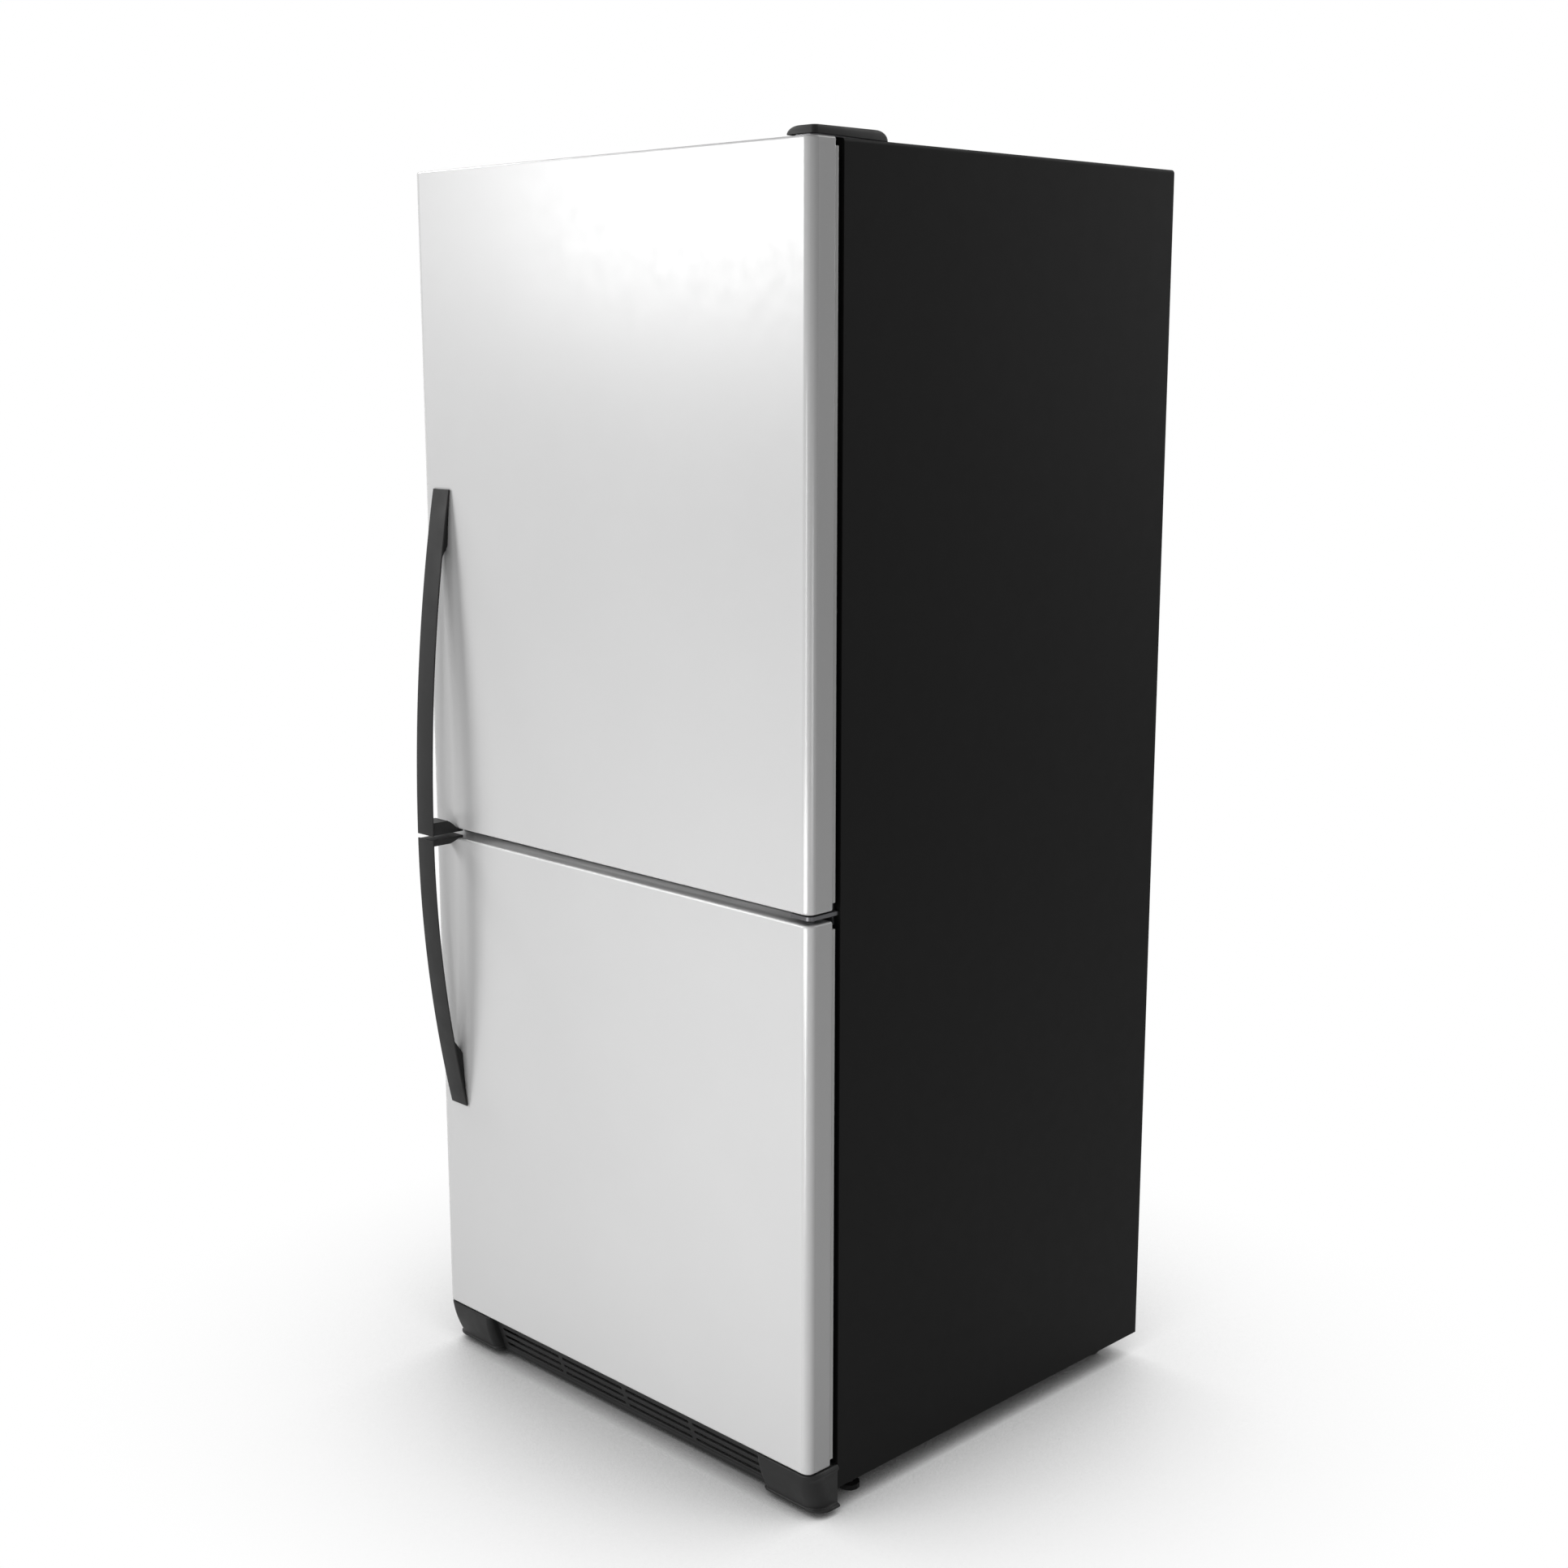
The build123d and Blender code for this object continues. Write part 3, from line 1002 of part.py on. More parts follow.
COVER_BACK = ROOM_BACK - SIDE_CORNER - PLASTIC
COVER_SPAN = ROOM_SIDE - FIT
with BuildPart() as shelf_frames:
    for shelf in SHELF_LEVELS:
        pane_frame(SHELF_HALF, SHELF_BACK, shelf, SHELF_BORDER)
        for x in (-TRACK_X, TRACK_X):
            with BuildSketch(Plane.YZ.offset(x - BRACKET_THICK / 2)) as bracket:
                with BuildLine():
                    low = shelf - BRACKET_HEIGHT
                    tip_y = SHELF_BACK - BRACKET_LENGTH
                    Polyline(
                        (SHELF_BACK, shelf + STEEL),
                        (SHELF_BACK, low),
                        (SHELF_BACK - GROMMET, low),
                        (tip_y, shelf - GROMMET),
                        (tip_y, shelf + STEEL),
                        close=True,
                    )
                make_face()
            extrude(amount=BRACKET_THICK)
            hook_at = shelf - BRACKET_HEIGHT + SHELF_HEIGHT
            hook = (hook_at - PLASTIC, hook_at + PLASTIC)
            hook_x = (x - BRACKET_THICK / 2, x + BRACKET_THICK / 2)
            block(hook_x, (SHELF_BACK - STEEL, TRACK_FACE + TRACK_DEPTH / 2 - STEEL), hook)
keep(shelf_frames, "shelf_frames")

with BuildPart() as shelf_glass:
    for shelf in SHELF_LEVELS:
        pane(SHELF_HALF, SHELF_BACK, shelf, SHELF_BORDER)
    pane(COVER_SPAN, COVER_BACK, COVER_LEVEL, SHELF_BORDER + GLASS_SEAT)
keep(shelf_glass, "shelf_glass")

# Crisper cover: frame, fascia with slide windows, and the runners that carry the crispers
LIP_UNDER = CRISPER_TOP - LIP_THICK
LEDGE_TOP = LIP_UNDER - RUN
SLIDE_LEVEL = COVER_LEVEL + FASCIA_HEIGHT / 2
with BuildPart() as crisper_cover:
    pane_frame(COVER_SPAN, COVER_BACK, COVER_LEVEL, SHELF_BORDER + GLASS_SEAT)
    fascia_y = (SHELF_FRONT, SHELF_FRONT + FASCIA_DEPTH)
    block((-COVER_SPAN, COVER_SPAN), fascia_y, (COVER_LEVEL, COVER_LEVEL + FASCIA_HEIGHT))
    runner_y = (SHELF_FRONT, ROOM_BACK - CRISPER_BACK_GAP)
    for side in (-1, 1):
        outer = side * (CRISPER_OUTER + LIP_WIDTH + RUN)
        web = sorted((outer, outer + side * LIP_THICK))
        block(web, runner_y, (LEDGE_TOP - RAIL_LEDGE, COVER_LEVEL + STEEL))
        ledge = sorted((side * (CRISPER_OUTER + RUN), outer + side * LIP_THICK))
        block(ledge, runner_y, (LEDGE_TOP - RAIL_LEDGE, LEDGE_TOP))
        window_half = SLIDE_TRAVEL + SLIDE_WIDTH / 2
        window = (side * SLIDE_X - window_half, side * SLIDE_X + window_half)
        window_z = (SLIDE_LEVEL - SLIDE_STEM / 2 - FIT, SLIDE_LEVEL + SLIDE_STEM / 2 + FIT)
        block(window, (SHELF_FRONT - STEEL, SHELF_FRONT + FASCIA_DEPTH), window_z, mode=Mode.SUBTRACT)
    centre_web = CRISPER_INNER - LIP_WIDTH - RUN
    block((-centre_web, centre_web), runner_y, (LEDGE_TOP - RAIL_LEDGE, COVER_LEVEL + STEEL))
    centre_ledge = CRISPER_INNER - RUN
    block((-centre_ledge, centre_ledge), runner_y, (LEDGE_TOP - RAIL_LEDGE, LEDGE_TOP))
    middle_bar = SHELF_BORDER / 2
    bar_z = (COVER_LEVEL, COVER_LEVEL + SHELF_HEIGHT - GLASS - FIT)
    block((-middle_bar, middle_bar), (SHELF_FRONT + STEEL, COVER_BACK - STEEL), bar_z)
keep(crisper_cover, "crisper_cover")

CRISPER_LOW = CRISPER_TOP - CRISPER_HEIGHT
CRISPER_Y = (SHELF_FRONT, ROOM_BACK - CRISPER_BACK_GAP)


def lipped_tub(x, y, z, lips):
    """Open box with a lip along each long side at the rim, for the runners."""
    form = tub(x, y, z, TUB_WALL)
    with BuildPart() as lipped:
        add(form)
        for wall, reach in zip(x, lips):
            outward = 1 if reach > wall else -1
            lip = sorted((wall - outward * TUB_WALL, reach))
            block(lip, (y[0] + TUB_CORNER, y[1] - TUB_CORNER), (z[1] - LIP_THICK, z[1]))
    return lipped.part


for name, side in (("crisper_left", -1), ("crisper_right", 1)):
    walls = sorted((side * CRISPER_INNER, side * CRISPER_OUTER))
    lips = sorted((side * (CRISPER_INNER - LIP_WIDTH), side * (CRISPER_OUTER + LIP_WIDTH)))
    crisper_form = lipped_tub(walls, CRISPER_Y, (CRISPER_LOW, CRISPER_TOP), lips)
    with BuildPart() as crisper:
        add(crisper_form)
        middle = (walls[0] + walls[1]) / 2
        with BuildSketch(Plane.YZ.offset(middle)) as pull:
            with BuildLine():
                grip = CRISPER_Y[0] + TUB_WALL
                top = CRISPER_TOP - TUB_CORNER
                tip = grip + GROMMET
                Polyline((grip, top), (grip, top - GROMMET), (tip, top - PLASTIC), (tip, top), close=True)
            make_face()
        extrude(amount=(walls[1] - walls[0]) / 4, both=True)
    keep(crisper, name)

for name, side in (("humidity_slide_left", -1), ("humidity_slide_right", 1)):
    with BuildPart() as humidity_slide:
        knob_x = (side * SLIDE_X - SLIDE_WIDTH / 2, side * SLIDE_X + SLIDE_WIDTH / 2)
        knob_z = (SLIDE_LEVEL - SLIDE_HEIGHT / 2, SLIDE_LEVEL + SLIDE_HEIGHT / 2)
        block(knob_x, (SHELF_FRONT - RUN - SLIDE_THICK, SHELF_FRONT - RUN), knob_z)
        grip_face = humidity_slide.faces().sort_by(Axis.Y)[0]
        chamfer(grip_face.edges(), SLIDE_THICK / 3)
        stem_x = (side * SLIDE_X - SLIDE_STEM, side * SLIDE_X + SLIDE_STEM)
        stem_z = (SLIDE_LEVEL - SLIDE_STEM / 2, SLIDE_LEVEL + SLIDE_STEM / 2)
        block(stem_x, (SHELF_FRONT - 2 * RUN, SHELF_FRONT + FASCIA_DEPTH - STEEL), stem_z)
    keep(humidity_slide, name)

# Freezer basket and drawer on runners along the walls
BASKET_Y = (TUB_FRONT, EVAPORATOR_FRONT - GROMMET)
DRAWER_Y = (TUB_FRONT, STEP_FRONT - GROMMET)
TUB_WALLS = (-FREEZER_TUB_HALF, FREEZER_TUB_HALF)
TUB_LIPS = (-FREEZER_TUB_HALF - 2 * LIP_WIDTH, FREEZER_TUB_HALF + 2 * LIP_WIDTH)
with BuildPart() as freezer_rails:
    for rim, depth in ((BASKET_LEVELS[1], BASKET_Y), (DRAWER_LEVELS[1], DRAWER_Y)):
        ledge_top = rim - LIP_THICK - RUN
        for side in (-1, 1):
            wall = side * (ROOM_SIDE - FIT)
            ledge = sorted((side * (FREEZER_TUB_HALF + LIP_WIDTH), wall))
            block(ledge, depth, (ledge_top - RAIL_LEDGE, ledge_top))
            web = sorted((wall - side * RAIL_WEB, wall))
            block(web, depth, (ledge_top - 4 * RAIL_LEDGE, ledge_top + 2 * RAIL_LEDGE))
keep(freezer_rails, "freezer_rails")

basket_form = lipped_tub(TUB_WALLS, BASKET_Y, BASKET_LEVELS, TUB_LIPS)
with BuildPart() as freezer_basket:
    add(basket_form)
    slot_height = BASKET_LEVELS[1] - BASKET_LEVELS[0] - 4 * TUB_CORNER
    with BuildSketch(facing(BASKET_Y[0] - STEEL)):
        with Locations((0, (BASKET_LEVELS[0] + BASKET_LEVELS[1]) / 2)):
            with GridLocations(FREEZER_TUB_HALF / 5, 0, 8, 1):
                Rectangle(GROMMET, slot_height)
    extrude(amount=-2 * TUB_WALL, mode=Mode.SUBTRACT)
keep(freezer_basket, "freezer_basket")

drawer_form = lipped_tub(TUB_WALLS, DRAWER_Y, DRAWER_LEVELS, TUB_LIPS)
with BuildPart() as freezer_drawer:
    add(drawer_form)
    with BuildSketch(facing(DRAWER_Y[0] - STEEL)):
        with Locations((0, DRAWER_LEVELS[1] - 2 * TUB_CORNER)):
            Rectangle(FREEZER_TUB_HALF / 2, 2 * GROMMET)
    extrude(amount=-2 * TUB_WALL, mode=Mode.SUBTRACT)
keep(freezer_drawer, "freezer_drawer")

# Feet and rollers
for name, side in (("front_foot_left", -1), ("front_foot_right", 1)):
    with BuildPart() as front_foot:
        base = (side * FOOT_X, FOOT_Y, 0)
        rod(base, (0, 0, 1), FOOT_RADIUS, FOOT_DISC, sides=FOOT_FLUTES)
        rod(base, (0, 0, 1), FOOT_STEM, FOOT_STEM_TOP, sides=FOOT_FLUTES)
    keep(front_foot, name)

AXLE_Y = REAR - ROLLER_REAR
EAR = PLASTIC
with BuildPart() as roller_brackets:
    for side in (-1, 1):
        inner = ROLLER_WIDTH / 2 + RUN
        for ear in (-1, 1):
            ear_x = sorted((side * ROLLER_X + ear * inner, side * ROLLER_X + ear * (inner + EAR)))
            with BuildSketch(Plane.YZ.offset(ear_x[0])):
                with BuildLine():
                    top = CABINET_BASE - FIT
                    reach = ROLLER_RADIUS * 0.8
                    foot = ROLLER_RADIUS / 2
                    shoulders = ((AXLE_Y + reach, top), (AXLE_Y - reach, top))
                    toes = ((AXLE_Y - reach / 2, foot), (AXLE_Y + reach / 2, foot))
                    Polyline(*shoulders, *toes, close=True)
                make_face()
            extrude(amount=EAR)
        span = inner + EAR
        plate_x = (side * ROLLER_X - span, side * ROLLER_X + span)
        block(plate_x, (AXLE_Y - reach, AXLE_Y + reach), (CABINET_BASE - FIT - STEEL, CABINET_BASE - FIT))
        rod((side * ROLLER_X - span, AXLE_Y, ROLLER_RADIUS), (1, 0, 0), AXLE_RADIUS, 2 * span, sides=FLATS)
keep(roller_brackets, "roller_brackets")

for name, side in (("rear_roller_left", -1), ("rear_roller_right", 1)):
    with BuildPart() as rear_roller:
        start = (side * ROLLER_X - ROLLER_WIDTH / 2, AXLE_Y, ROLLER_RADIUS)
        rod(start, (1, 0, 0), ROLLER_RADIUS, ROLLER_WIDTH, sides=ROLLER_SIDES)
        rod(start, (1, 0, 0), AXLE_RADIUS + PIN_FIT, ROLLER_WIDTH, mode=Mode.SUBTRACT)
    keep(rear_roller, name)


def handle_outline(start, outward, length, leg, sweep):
    """Side outline of a handle: `start` is its gap end and `outward` is 1 up or -1 down.

    Its leg runs level from the bow, then falls in two equal arcs to the tab at the door's edge.
    """
    bow = FRONT - HANDLE_REACH
    inner = bow + HANDLE_THICK
    seat, tip, tab = FRONT - FIT, FRONT - HANDLE_TIP, FRONT + HANDLE_TAB_DEPTH
    end = start + outward * length
    foot = end - outward * HANDLE_FOOT
    ledge, edge = start + outward * leg, start + outward * HANDLE_TAB
    rise, reach = tip - bow, length - HANDLE_FOOT - HANDLE_CLOSE
    radius = (length**2 + rise**2) / (2 * rise)
    strap_end = (inner + radius - sqrt(radius**2 - reach**2), foot - outward * HANDLE_CLOSE)
    halfway = (FRONT - sweep / 2, (ledge + edge) / 2)
    TangentArc((bow, start), (tip, end), tangent=(0, outward))
    Polyline((tip, end), (seat, end), (seat, foot), strap_end)
    TangentArc((inner, ledge), strap_end, tangent=(0, outward))
    Line((inner, ledge), (FRONT - sweep, ledge))
    TangentArc((FRONT - sweep, ledge), halfway, tangent=(1, 0))
    TangentArc((FRONT, edge), halfway, tangent=(-1, 0))
    Polyline((FRONT, edge), (tab, edge), (tab, start), (bow, start))


def bush(level, inward, grow, length, mode=Mode.ADD):
    """Square insert round the hinge axis, from a door's end at `level` into the door."""
    half = BUSH_SIZE / 2 + grow
    depth = sorted((level, level + inward * length))
    block((HINGE_X - half, HINGE_X + half), (HINGE_Y - half, HINGE_Y + half), depth, mode=mode)


def door_pieces(door, span, room, handle):
    """Skin, foam, inner liner, gasket, handle and bushings of one door."""
    low, high = span
    skin_back = FRONT + SKIN_DEPTH
    ends = ((low, 1), (high, -1))
    outer = door_form(span, 0, skin_back)
    hollow = door_form(span, STEEL, skin_back - STEEL)
    filling = door_form(span, STEEL + FIT, skin_back - STEEL - FIT)

    with BuildPart() as door_skin:
        add(outer)
        add(hollow, mode=Mode.SUBTRACT)
        mouth = SIDE - SKIN_RETURN
        mouth_z = (low + SKIN_RETURN, high - SKIN_RETURN)
        block((-mouth, mouth), (skin_back - 2 * STEEL, skin_back + STEEL), mouth_z, mode=Mode.SUBTRACT)
        for end, inward in ends:
            bush(end, inward, FIT, 2 * STEEL, mode=Mode.SUBTRACT)
    keep(door_skin, f"{door}_door_skin")

    with BuildPart() as door_foam:
        add(filling)
        core = SIDE - RIM_WALL - FIT
        core_z = (low + RIM_INSET + RIM_WALL + FIT, high - RIM_INSET - RIM_WALL - FIT)
        block((-core, core), (skin_back - 2 * PLASTIC, RIM_BACK - PLASTIC - FIT), core_z)
        for end, inward in ends:
            bush(end, inward, FIT, BUSH_LENGTH + FIT, mode=Mode.SUBTRACT)
    keep(door_foam, f"{door}_door_foam")

    with BuildPart() as door_liner:
        block((-SIDE, SIDE), (RIM_FRONT, RIM_BACK), (low + RIM_INSET, high - RIM_INSET))
        chamfer(door_liner.faces().sort_by(Axis.Y)[-1].edges(), RIM_EDGE)
        dyke_z = (room[0] + DYKE_FLOOR_GAP, room[1] - DYKE_CEILING_GAP)
        for inset, short, mode in ((0, 0, Mode.ADD), (PLASTIC, DYKE_EDGE, Mode.SUBTRACT)):
            start = RIM_BACK - RIM_EDGE
            with BuildSketch(behind(start)):
                with Locations((0, (dyke_z[0] + dyke_z[1]) / 2)):
                    with GridLocations(2 * DYKE_OUTER - DYKE_WIDTH, 0, 2, 1):
                        Rectangle(DYKE_WIDTH - 2 * inset, dyke_z[1] - dyke_z[0] - 2 * inset)
            extrude(amount=DYKE_DEPTH + RIM_EDGE - short, taper=DYKE_TAPER, mode=mode)
            if mode == Mode.ADD:
                chamfer(door_liner.faces().group_by(Axis.Y)[-1].edges(), DYKE_EDGE)
                well = SIDE - RIM_WALL
                well_z = (low + RIM_INSET + RIM_WALL, high - RIM_INSET - RIM_WALL)
                block((-well, well), (RIM_FRONT - STEEL, RIM_BACK - PLASTIC), well_z, mode=Mode.SUBTRACT)
    keep(door_liner, f"{door}_door_liner")

    with BuildPart() as door_gasket:
        with BuildSketch(facing(RIM_BACK)):
            with Locations((0, (low + high) / 2)):
                wide = 2 * (SIDE - GASKET_INSET)
                tall = high - low - 2 * GASKET_END_INSET
                Rectangle(wide, tall)
                Rectangle(wide - 2 * GASKET_WIDTH, tall - 2 * GASKET_WIDTH, mode=Mode.SUBTRACT)
        extrude(amount=-(GASKET_SPACE - FIT))
    keep(door_gasket, f"{door}_door_gasket")

    with BuildPart() as door_handle:
        outer_edge = -SIDE + HANDLE_INSET
        with BuildSketch(Plane.YZ.offset(outer_edge)):
            with BuildLine():
                handle_outline(*handle)
            make_face()
        extrude(amount=HANDLE_WIDTH)
        bowed = door_handle.faces().sort_by(Axis.Y)[0]
        chamfer(bowed.edges().filter_by(lambda edge: edge.length > HANDLE_WIDTH * 2), HANDLE_EDGE)
    keep(door_handle, f"{door}_door_handle")

    with BuildPart() as door_bushings:
        for end, inward in ends:
            bush(end, inward, 0, BUSH_LENGTH)
            mouth = (HINGE_X, HINGE_Y, end)
            rod(mouth, (0, 0, inward), PIN_RADIUS + PIN_FIT, PIN_LENGTH + RUN, mode=Mode.SUBTRACT)
    keep(door_bushings, f"{door}_door_bushings")


def bin_levels(floor, ceiling, count):
    """Floors of a door's bins, spaced evenly from just above `floor` up to `ceiling`."""
    first = floor + BIN_FLOOR_GAP
    return [first + (ceiling - first) * place / count for place in range(count)]


def door_bins(name, levels):
    """Retainer bins that hang between the dykes."""
    with BuildPart() as bins:
        for level in levels:
            for inset, mode in ((0, Mode.ADD), (TUB_WALL, Mode.SUBTRACT)):
                with BuildSketch(Plane.YZ.offset(-BIN_HALF + inset)):
                    with BuildLine():
                        bin_outline(level, inset)
                    make_face()
                extrude(amount=2 * (BIN_HALF - inset), mode=mode)
    keep(bins, name)


FRIDGE_HANDLE_START = FRIDGE_DOOR[0] - FIT - HANDLE_TAB
FREEZER_HANDLE_START = FREEZER_DOOR[1] + FIT + HANDLE_TAB
FRIDGE_HANDLE = (FRIDGE_HANDLE_START, 1, FRIDGE_HANDLE_LENGTH)
FRIDGE_HANDLE += (FRIDGE_HANDLE_LEG, FRIDGE_HANDLE_SWEEP)
FREEZER_HANDLE = (FREEZER_HANDLE_START, -1, FREEZER_HANDLE_LENGTH)
FREEZER_HANDLE += (FREEZER_HANDLE_LEG, FREEZER_HANDLE_SWEEP)
FRIDGE_BINS = bin_levels(FRIDGE_ROOM[0], DAIRY_LEVELS[0], FRIDGE_BIN_COUNT)
FREEZER_BINS = bin_levels(FREEZER_ROOM[0], FREEZER_ROOM[1], FREEZER_BIN_COUNT)
door_pieces("fridge", FRIDGE_DOOR, FRIDGE_ROOM, FRIDGE_HANDLE)
door_pieces("freezer", FREEZER_DOOR, FREEZER_ROOM, FREEZER_HANDLE)
door_bins("fridge_door_bins", FRIDGE_BINS)
door_bins("freezer_door_bins", FREEZER_BINS)

# Dairy box and its flap, near the top of the fridge door
FLAP_Y = RIM_BACK + BIN_DEPTH - DAIRY_BACK_GAP
FLAP_AXIS_Z = DAIRY_LEVELS[1] - FLAP_DROP
with BuildPart() as dairy_box:
    box_y = (BIN_BACK, RIM_BACK + BIN_DEPTH)
    block((-BIN_HALF, BIN_HALF), box_y, DAIRY_LEVELS)
    inner_half = BIN_HALF - TUB_WALL
    inner_z = (DAIRY_LEVELS[0] + TUB_WALL, DAIRY_LEVELS[1] - TUB_WALL)
    block((-inner_half, inner_half), (BIN_BACK + TUB_WALL, box_y[1] + STEEL), inner_z, mode=Mode.SUBTRACT)
    pin_start = (-BIN_HALF - STEEL, FLAP_Y, FLAP_AXIS_Z)
    rod(pin_start, (1, 0, 0), FLAP_PIN + PIN_FIT, 2 * BIN_HALF + 2 * STEEL, mode=Mode.SUBTRACT)
keep(dairy_box, "dairy_box")

with BuildPart() as dairy_flap:
    flap_half = inner_half - RUN
    flap_low = DAIRY_LEVELS[0] + TUB_WALL + 2 * RUN
    flap_z = (flap_low, FLAP_AXIS_Z)
    block((-flap_half, flap_half), (FLAP_Y - FLAP_THICK / 2, FLAP_Y + FLAP_THICK / 2), flap_z)
    grip_z = (flap_low, flap_low + FLAP_DROP)
    block((-flap_half / 3, flap_half / 3), (FLAP_Y, FLAP_Y + DAIRY_BACK_GAP - STEEL), grip_z)
    pin_half = inner_half + TUB_WALL - RUN
    rod((-pin_half, FLAP_Y, FLAP_AXIS_Z), (1, 0, 0), FLAP_PIN, 2 * pin_half, sides=FLATS)
keep(dairy_flap, "dairy_flap")
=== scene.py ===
import json
from math import radians

import bmesh
import bpy
import numpy as np
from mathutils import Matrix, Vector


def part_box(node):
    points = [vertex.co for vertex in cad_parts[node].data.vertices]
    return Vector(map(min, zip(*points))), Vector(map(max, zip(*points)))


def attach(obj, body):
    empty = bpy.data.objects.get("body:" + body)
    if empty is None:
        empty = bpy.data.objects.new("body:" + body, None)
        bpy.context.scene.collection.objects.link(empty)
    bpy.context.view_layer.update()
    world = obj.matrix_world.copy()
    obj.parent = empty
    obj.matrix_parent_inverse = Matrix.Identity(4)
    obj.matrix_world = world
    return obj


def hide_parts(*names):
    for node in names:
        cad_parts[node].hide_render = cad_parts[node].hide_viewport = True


# Looks of the bottom-freezer refrigerator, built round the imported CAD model.
# Metres, in the CAD frame: +X to the right, +Y to the back, +Z up, and the floor is Z = 0.

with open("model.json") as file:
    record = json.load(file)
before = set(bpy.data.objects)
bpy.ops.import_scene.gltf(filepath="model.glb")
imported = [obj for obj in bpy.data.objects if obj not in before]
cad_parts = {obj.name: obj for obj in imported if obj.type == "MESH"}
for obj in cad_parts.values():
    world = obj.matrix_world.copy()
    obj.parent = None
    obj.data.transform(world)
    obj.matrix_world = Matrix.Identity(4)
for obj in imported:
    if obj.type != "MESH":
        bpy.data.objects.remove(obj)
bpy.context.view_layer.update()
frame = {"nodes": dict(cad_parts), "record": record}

# Places read from the CAD model
FRIDGE_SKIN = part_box("fridge_door_skin")
SIDE = FRIDGE_SKIN[1].x
FRONT = FRIDGE_SKIN[0].y
SKIN_BACK = FRIDGE_SKIN[1].y
CABINET_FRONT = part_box("cabinet_wrapper")[0].y

# Meshes
MERGE = 2e-6  # points closer than this become one
CORNER_STEPS = 5  # points on a small rounded corner

# Door panels
SIDE_EDGE = 0.012  # radius of the upright front edges
END_EDGE = 0.003  # radius of the top and bottom edges
SKIN_RETURN = 0.024  # fold round the open back
SHEET = 0.001
EDGE_STEPS = 10
SUPPORT = 0.0006  # distance from a bend to the line that keeps its flat flat
SIDE_POINTS = 3  # points of the plan line on each side of the door
MOUTH_POINTS = 2  # points at the open back
BEND_ROUGHNESS = 0.19  # paint on the upright front edges
BEND_FADE = 0.001

# Handles
HANDLE_EDGE = 0.0009
HANDLE_THICK = 0.0024
HANDLE_TIP = 0.0035  # front of the far end from the door
HANDLE_SHIFT = -0.002  # strap beside its solid, as photographed
HANDLE_TAB = 0.003
HANDLE_SEAT = 0.0003
LEG_INSET = 0.0035  # legs inside the strap's edges
STEM_INSET = (0.004, 0.014)  # far leg inside the strap's edges, at its tip and at its start
STEM_LENGTH = 0.126
STEM_SEAT = 0.078  # length that lies on the door
FRIDGE_LEG = (0.018, 0.019)  # height of the leg beside the gap, depth of its curve
FREEZER_LEG = (0.0088, 0.015)
LEG_CURVE = 1.2  # how full the curve from the leg to the door is
LEG_STEPS = 13
BOW_STEPS = 72
STEM_STEPS = 24

# Toe grille: slotted plate
GRILLE_BASE, GRILLE_TOP = 0.008, 0.0665
GRILLE_WALL = 0.003
PLATE_SETBACK = 0.012  # top of the slotted plate behind the door front
PLATE_LEAN = 0.0185  # plate's foot behind its top
PLATE_HEAD = (GRILLE_TOP, 0.0645, 0.0585)  # levels above the slots
PLATE_FOOT = (0.0158, 0.0148, 0.0138, 0.0088, GRILLE_BASE)  # levels below the slots
PLATE_STEP = 0.0143  # below this level the plate stands forward
PLATE_STEP_DEPTH = 0.0012
PLATE_RETURNS = (0.008, 0.009)  # folds to the back, at the top and at the foot
SLOT_LEVELS = (0.0472, 0.0348, 0.0224)
SLOT_HALF = 0.0028
SLOT_FIELD = 0.274  # slots' field from the middle
SLOT_COLUMNS = 4
SLOT_BAR = 0.008
SLOT_EDGE = 0.0012  # distance from a slot to the line that keeps its edge tight
SLOT_LINES = (0.0, 0.02, 0.5, 0.98, 1.0)  # lines across a slot, as shares of its length
ROUNDING_LEVELS = 2

# Toe grille: corner shrouds
SHROUD_INNER = 0.280
SHROUD_LEAN = 0.019
SHROUD_BULGE = 0.0037
SHROUD_CORNERS = (0.022, 0.014)  # radius of the outer upright edge, at the foot and at the top
SHROUD_EDGES = (0.012, 0.008)  # radius of the inner upright edge
SHROUD_WALL = (0.0165, 0.0638, 20)  # lowest and highest ring between the lip and the top, count
SHROUD_TOP = (0.0016, 0.0006, 0.0)  # last rings below the top, where its edge rounds off
SHROUD_CROWN = (0.0, 0.0006, 0.0018)  # how far those rings are drawn in
LIP_LEVELS = (0.008, 0.0085, 0.0095, 0.0108, 0.012, 0.0129, 0.0134, 0.0145)
LIP_FLARE = (0.0026, 0.0039, 0.0048, 0.005, 0.0045, 0.003, 0.0012, 0.0)
LIP_INNER = 0.8  # share of the flare on the inner side
BEAD_LEVEL = 0.0615
BEAD_RISE = 0.0028
BEAD_SPREAD = 0.003
BEAD_FADE = 4  # power by which the bead dies out round the corner

# Top hinge cover
CAP_REACH = (0.017, 0.003, 0.003, 0.017)  # how far the left, right, front and rear slope in
CAP_CORNER = 0.006
CAP_LIFT = 0.0024  # lower edge over the door above the edge on the cabinet
CAP_STEPS = 12
CAP_CORNER_STEPS = 7

# Door gaskets: half profile as (from the middle, from the door)
GASKET_HALF = 0.0085
GASKET_PROFILE = (
    (0.0060, 0.0), (0.0068, 0.0009), (0.0052, 0.0017), (0.0076, 0.0027),
    (0.0085, 0.0040), (0.0085, 0.0056), (0.0077, 0.0068), (0.0064, 0.0072),
)

# Seam strip above the fridge opening, between the liner and the fold of the cabinet
SEAM_EDGE = 0.0003
SEAM_SETBACK = 0.0002  # strip behind the cabinet's front
SEAM_DEPTH = 0.002
SEAM_OVERHANG = 0.0005  # ends beyond the liner's sides
SEAM_GAP = 0.0001  # above the liner
SEAM_HEIGHT = 0.0058

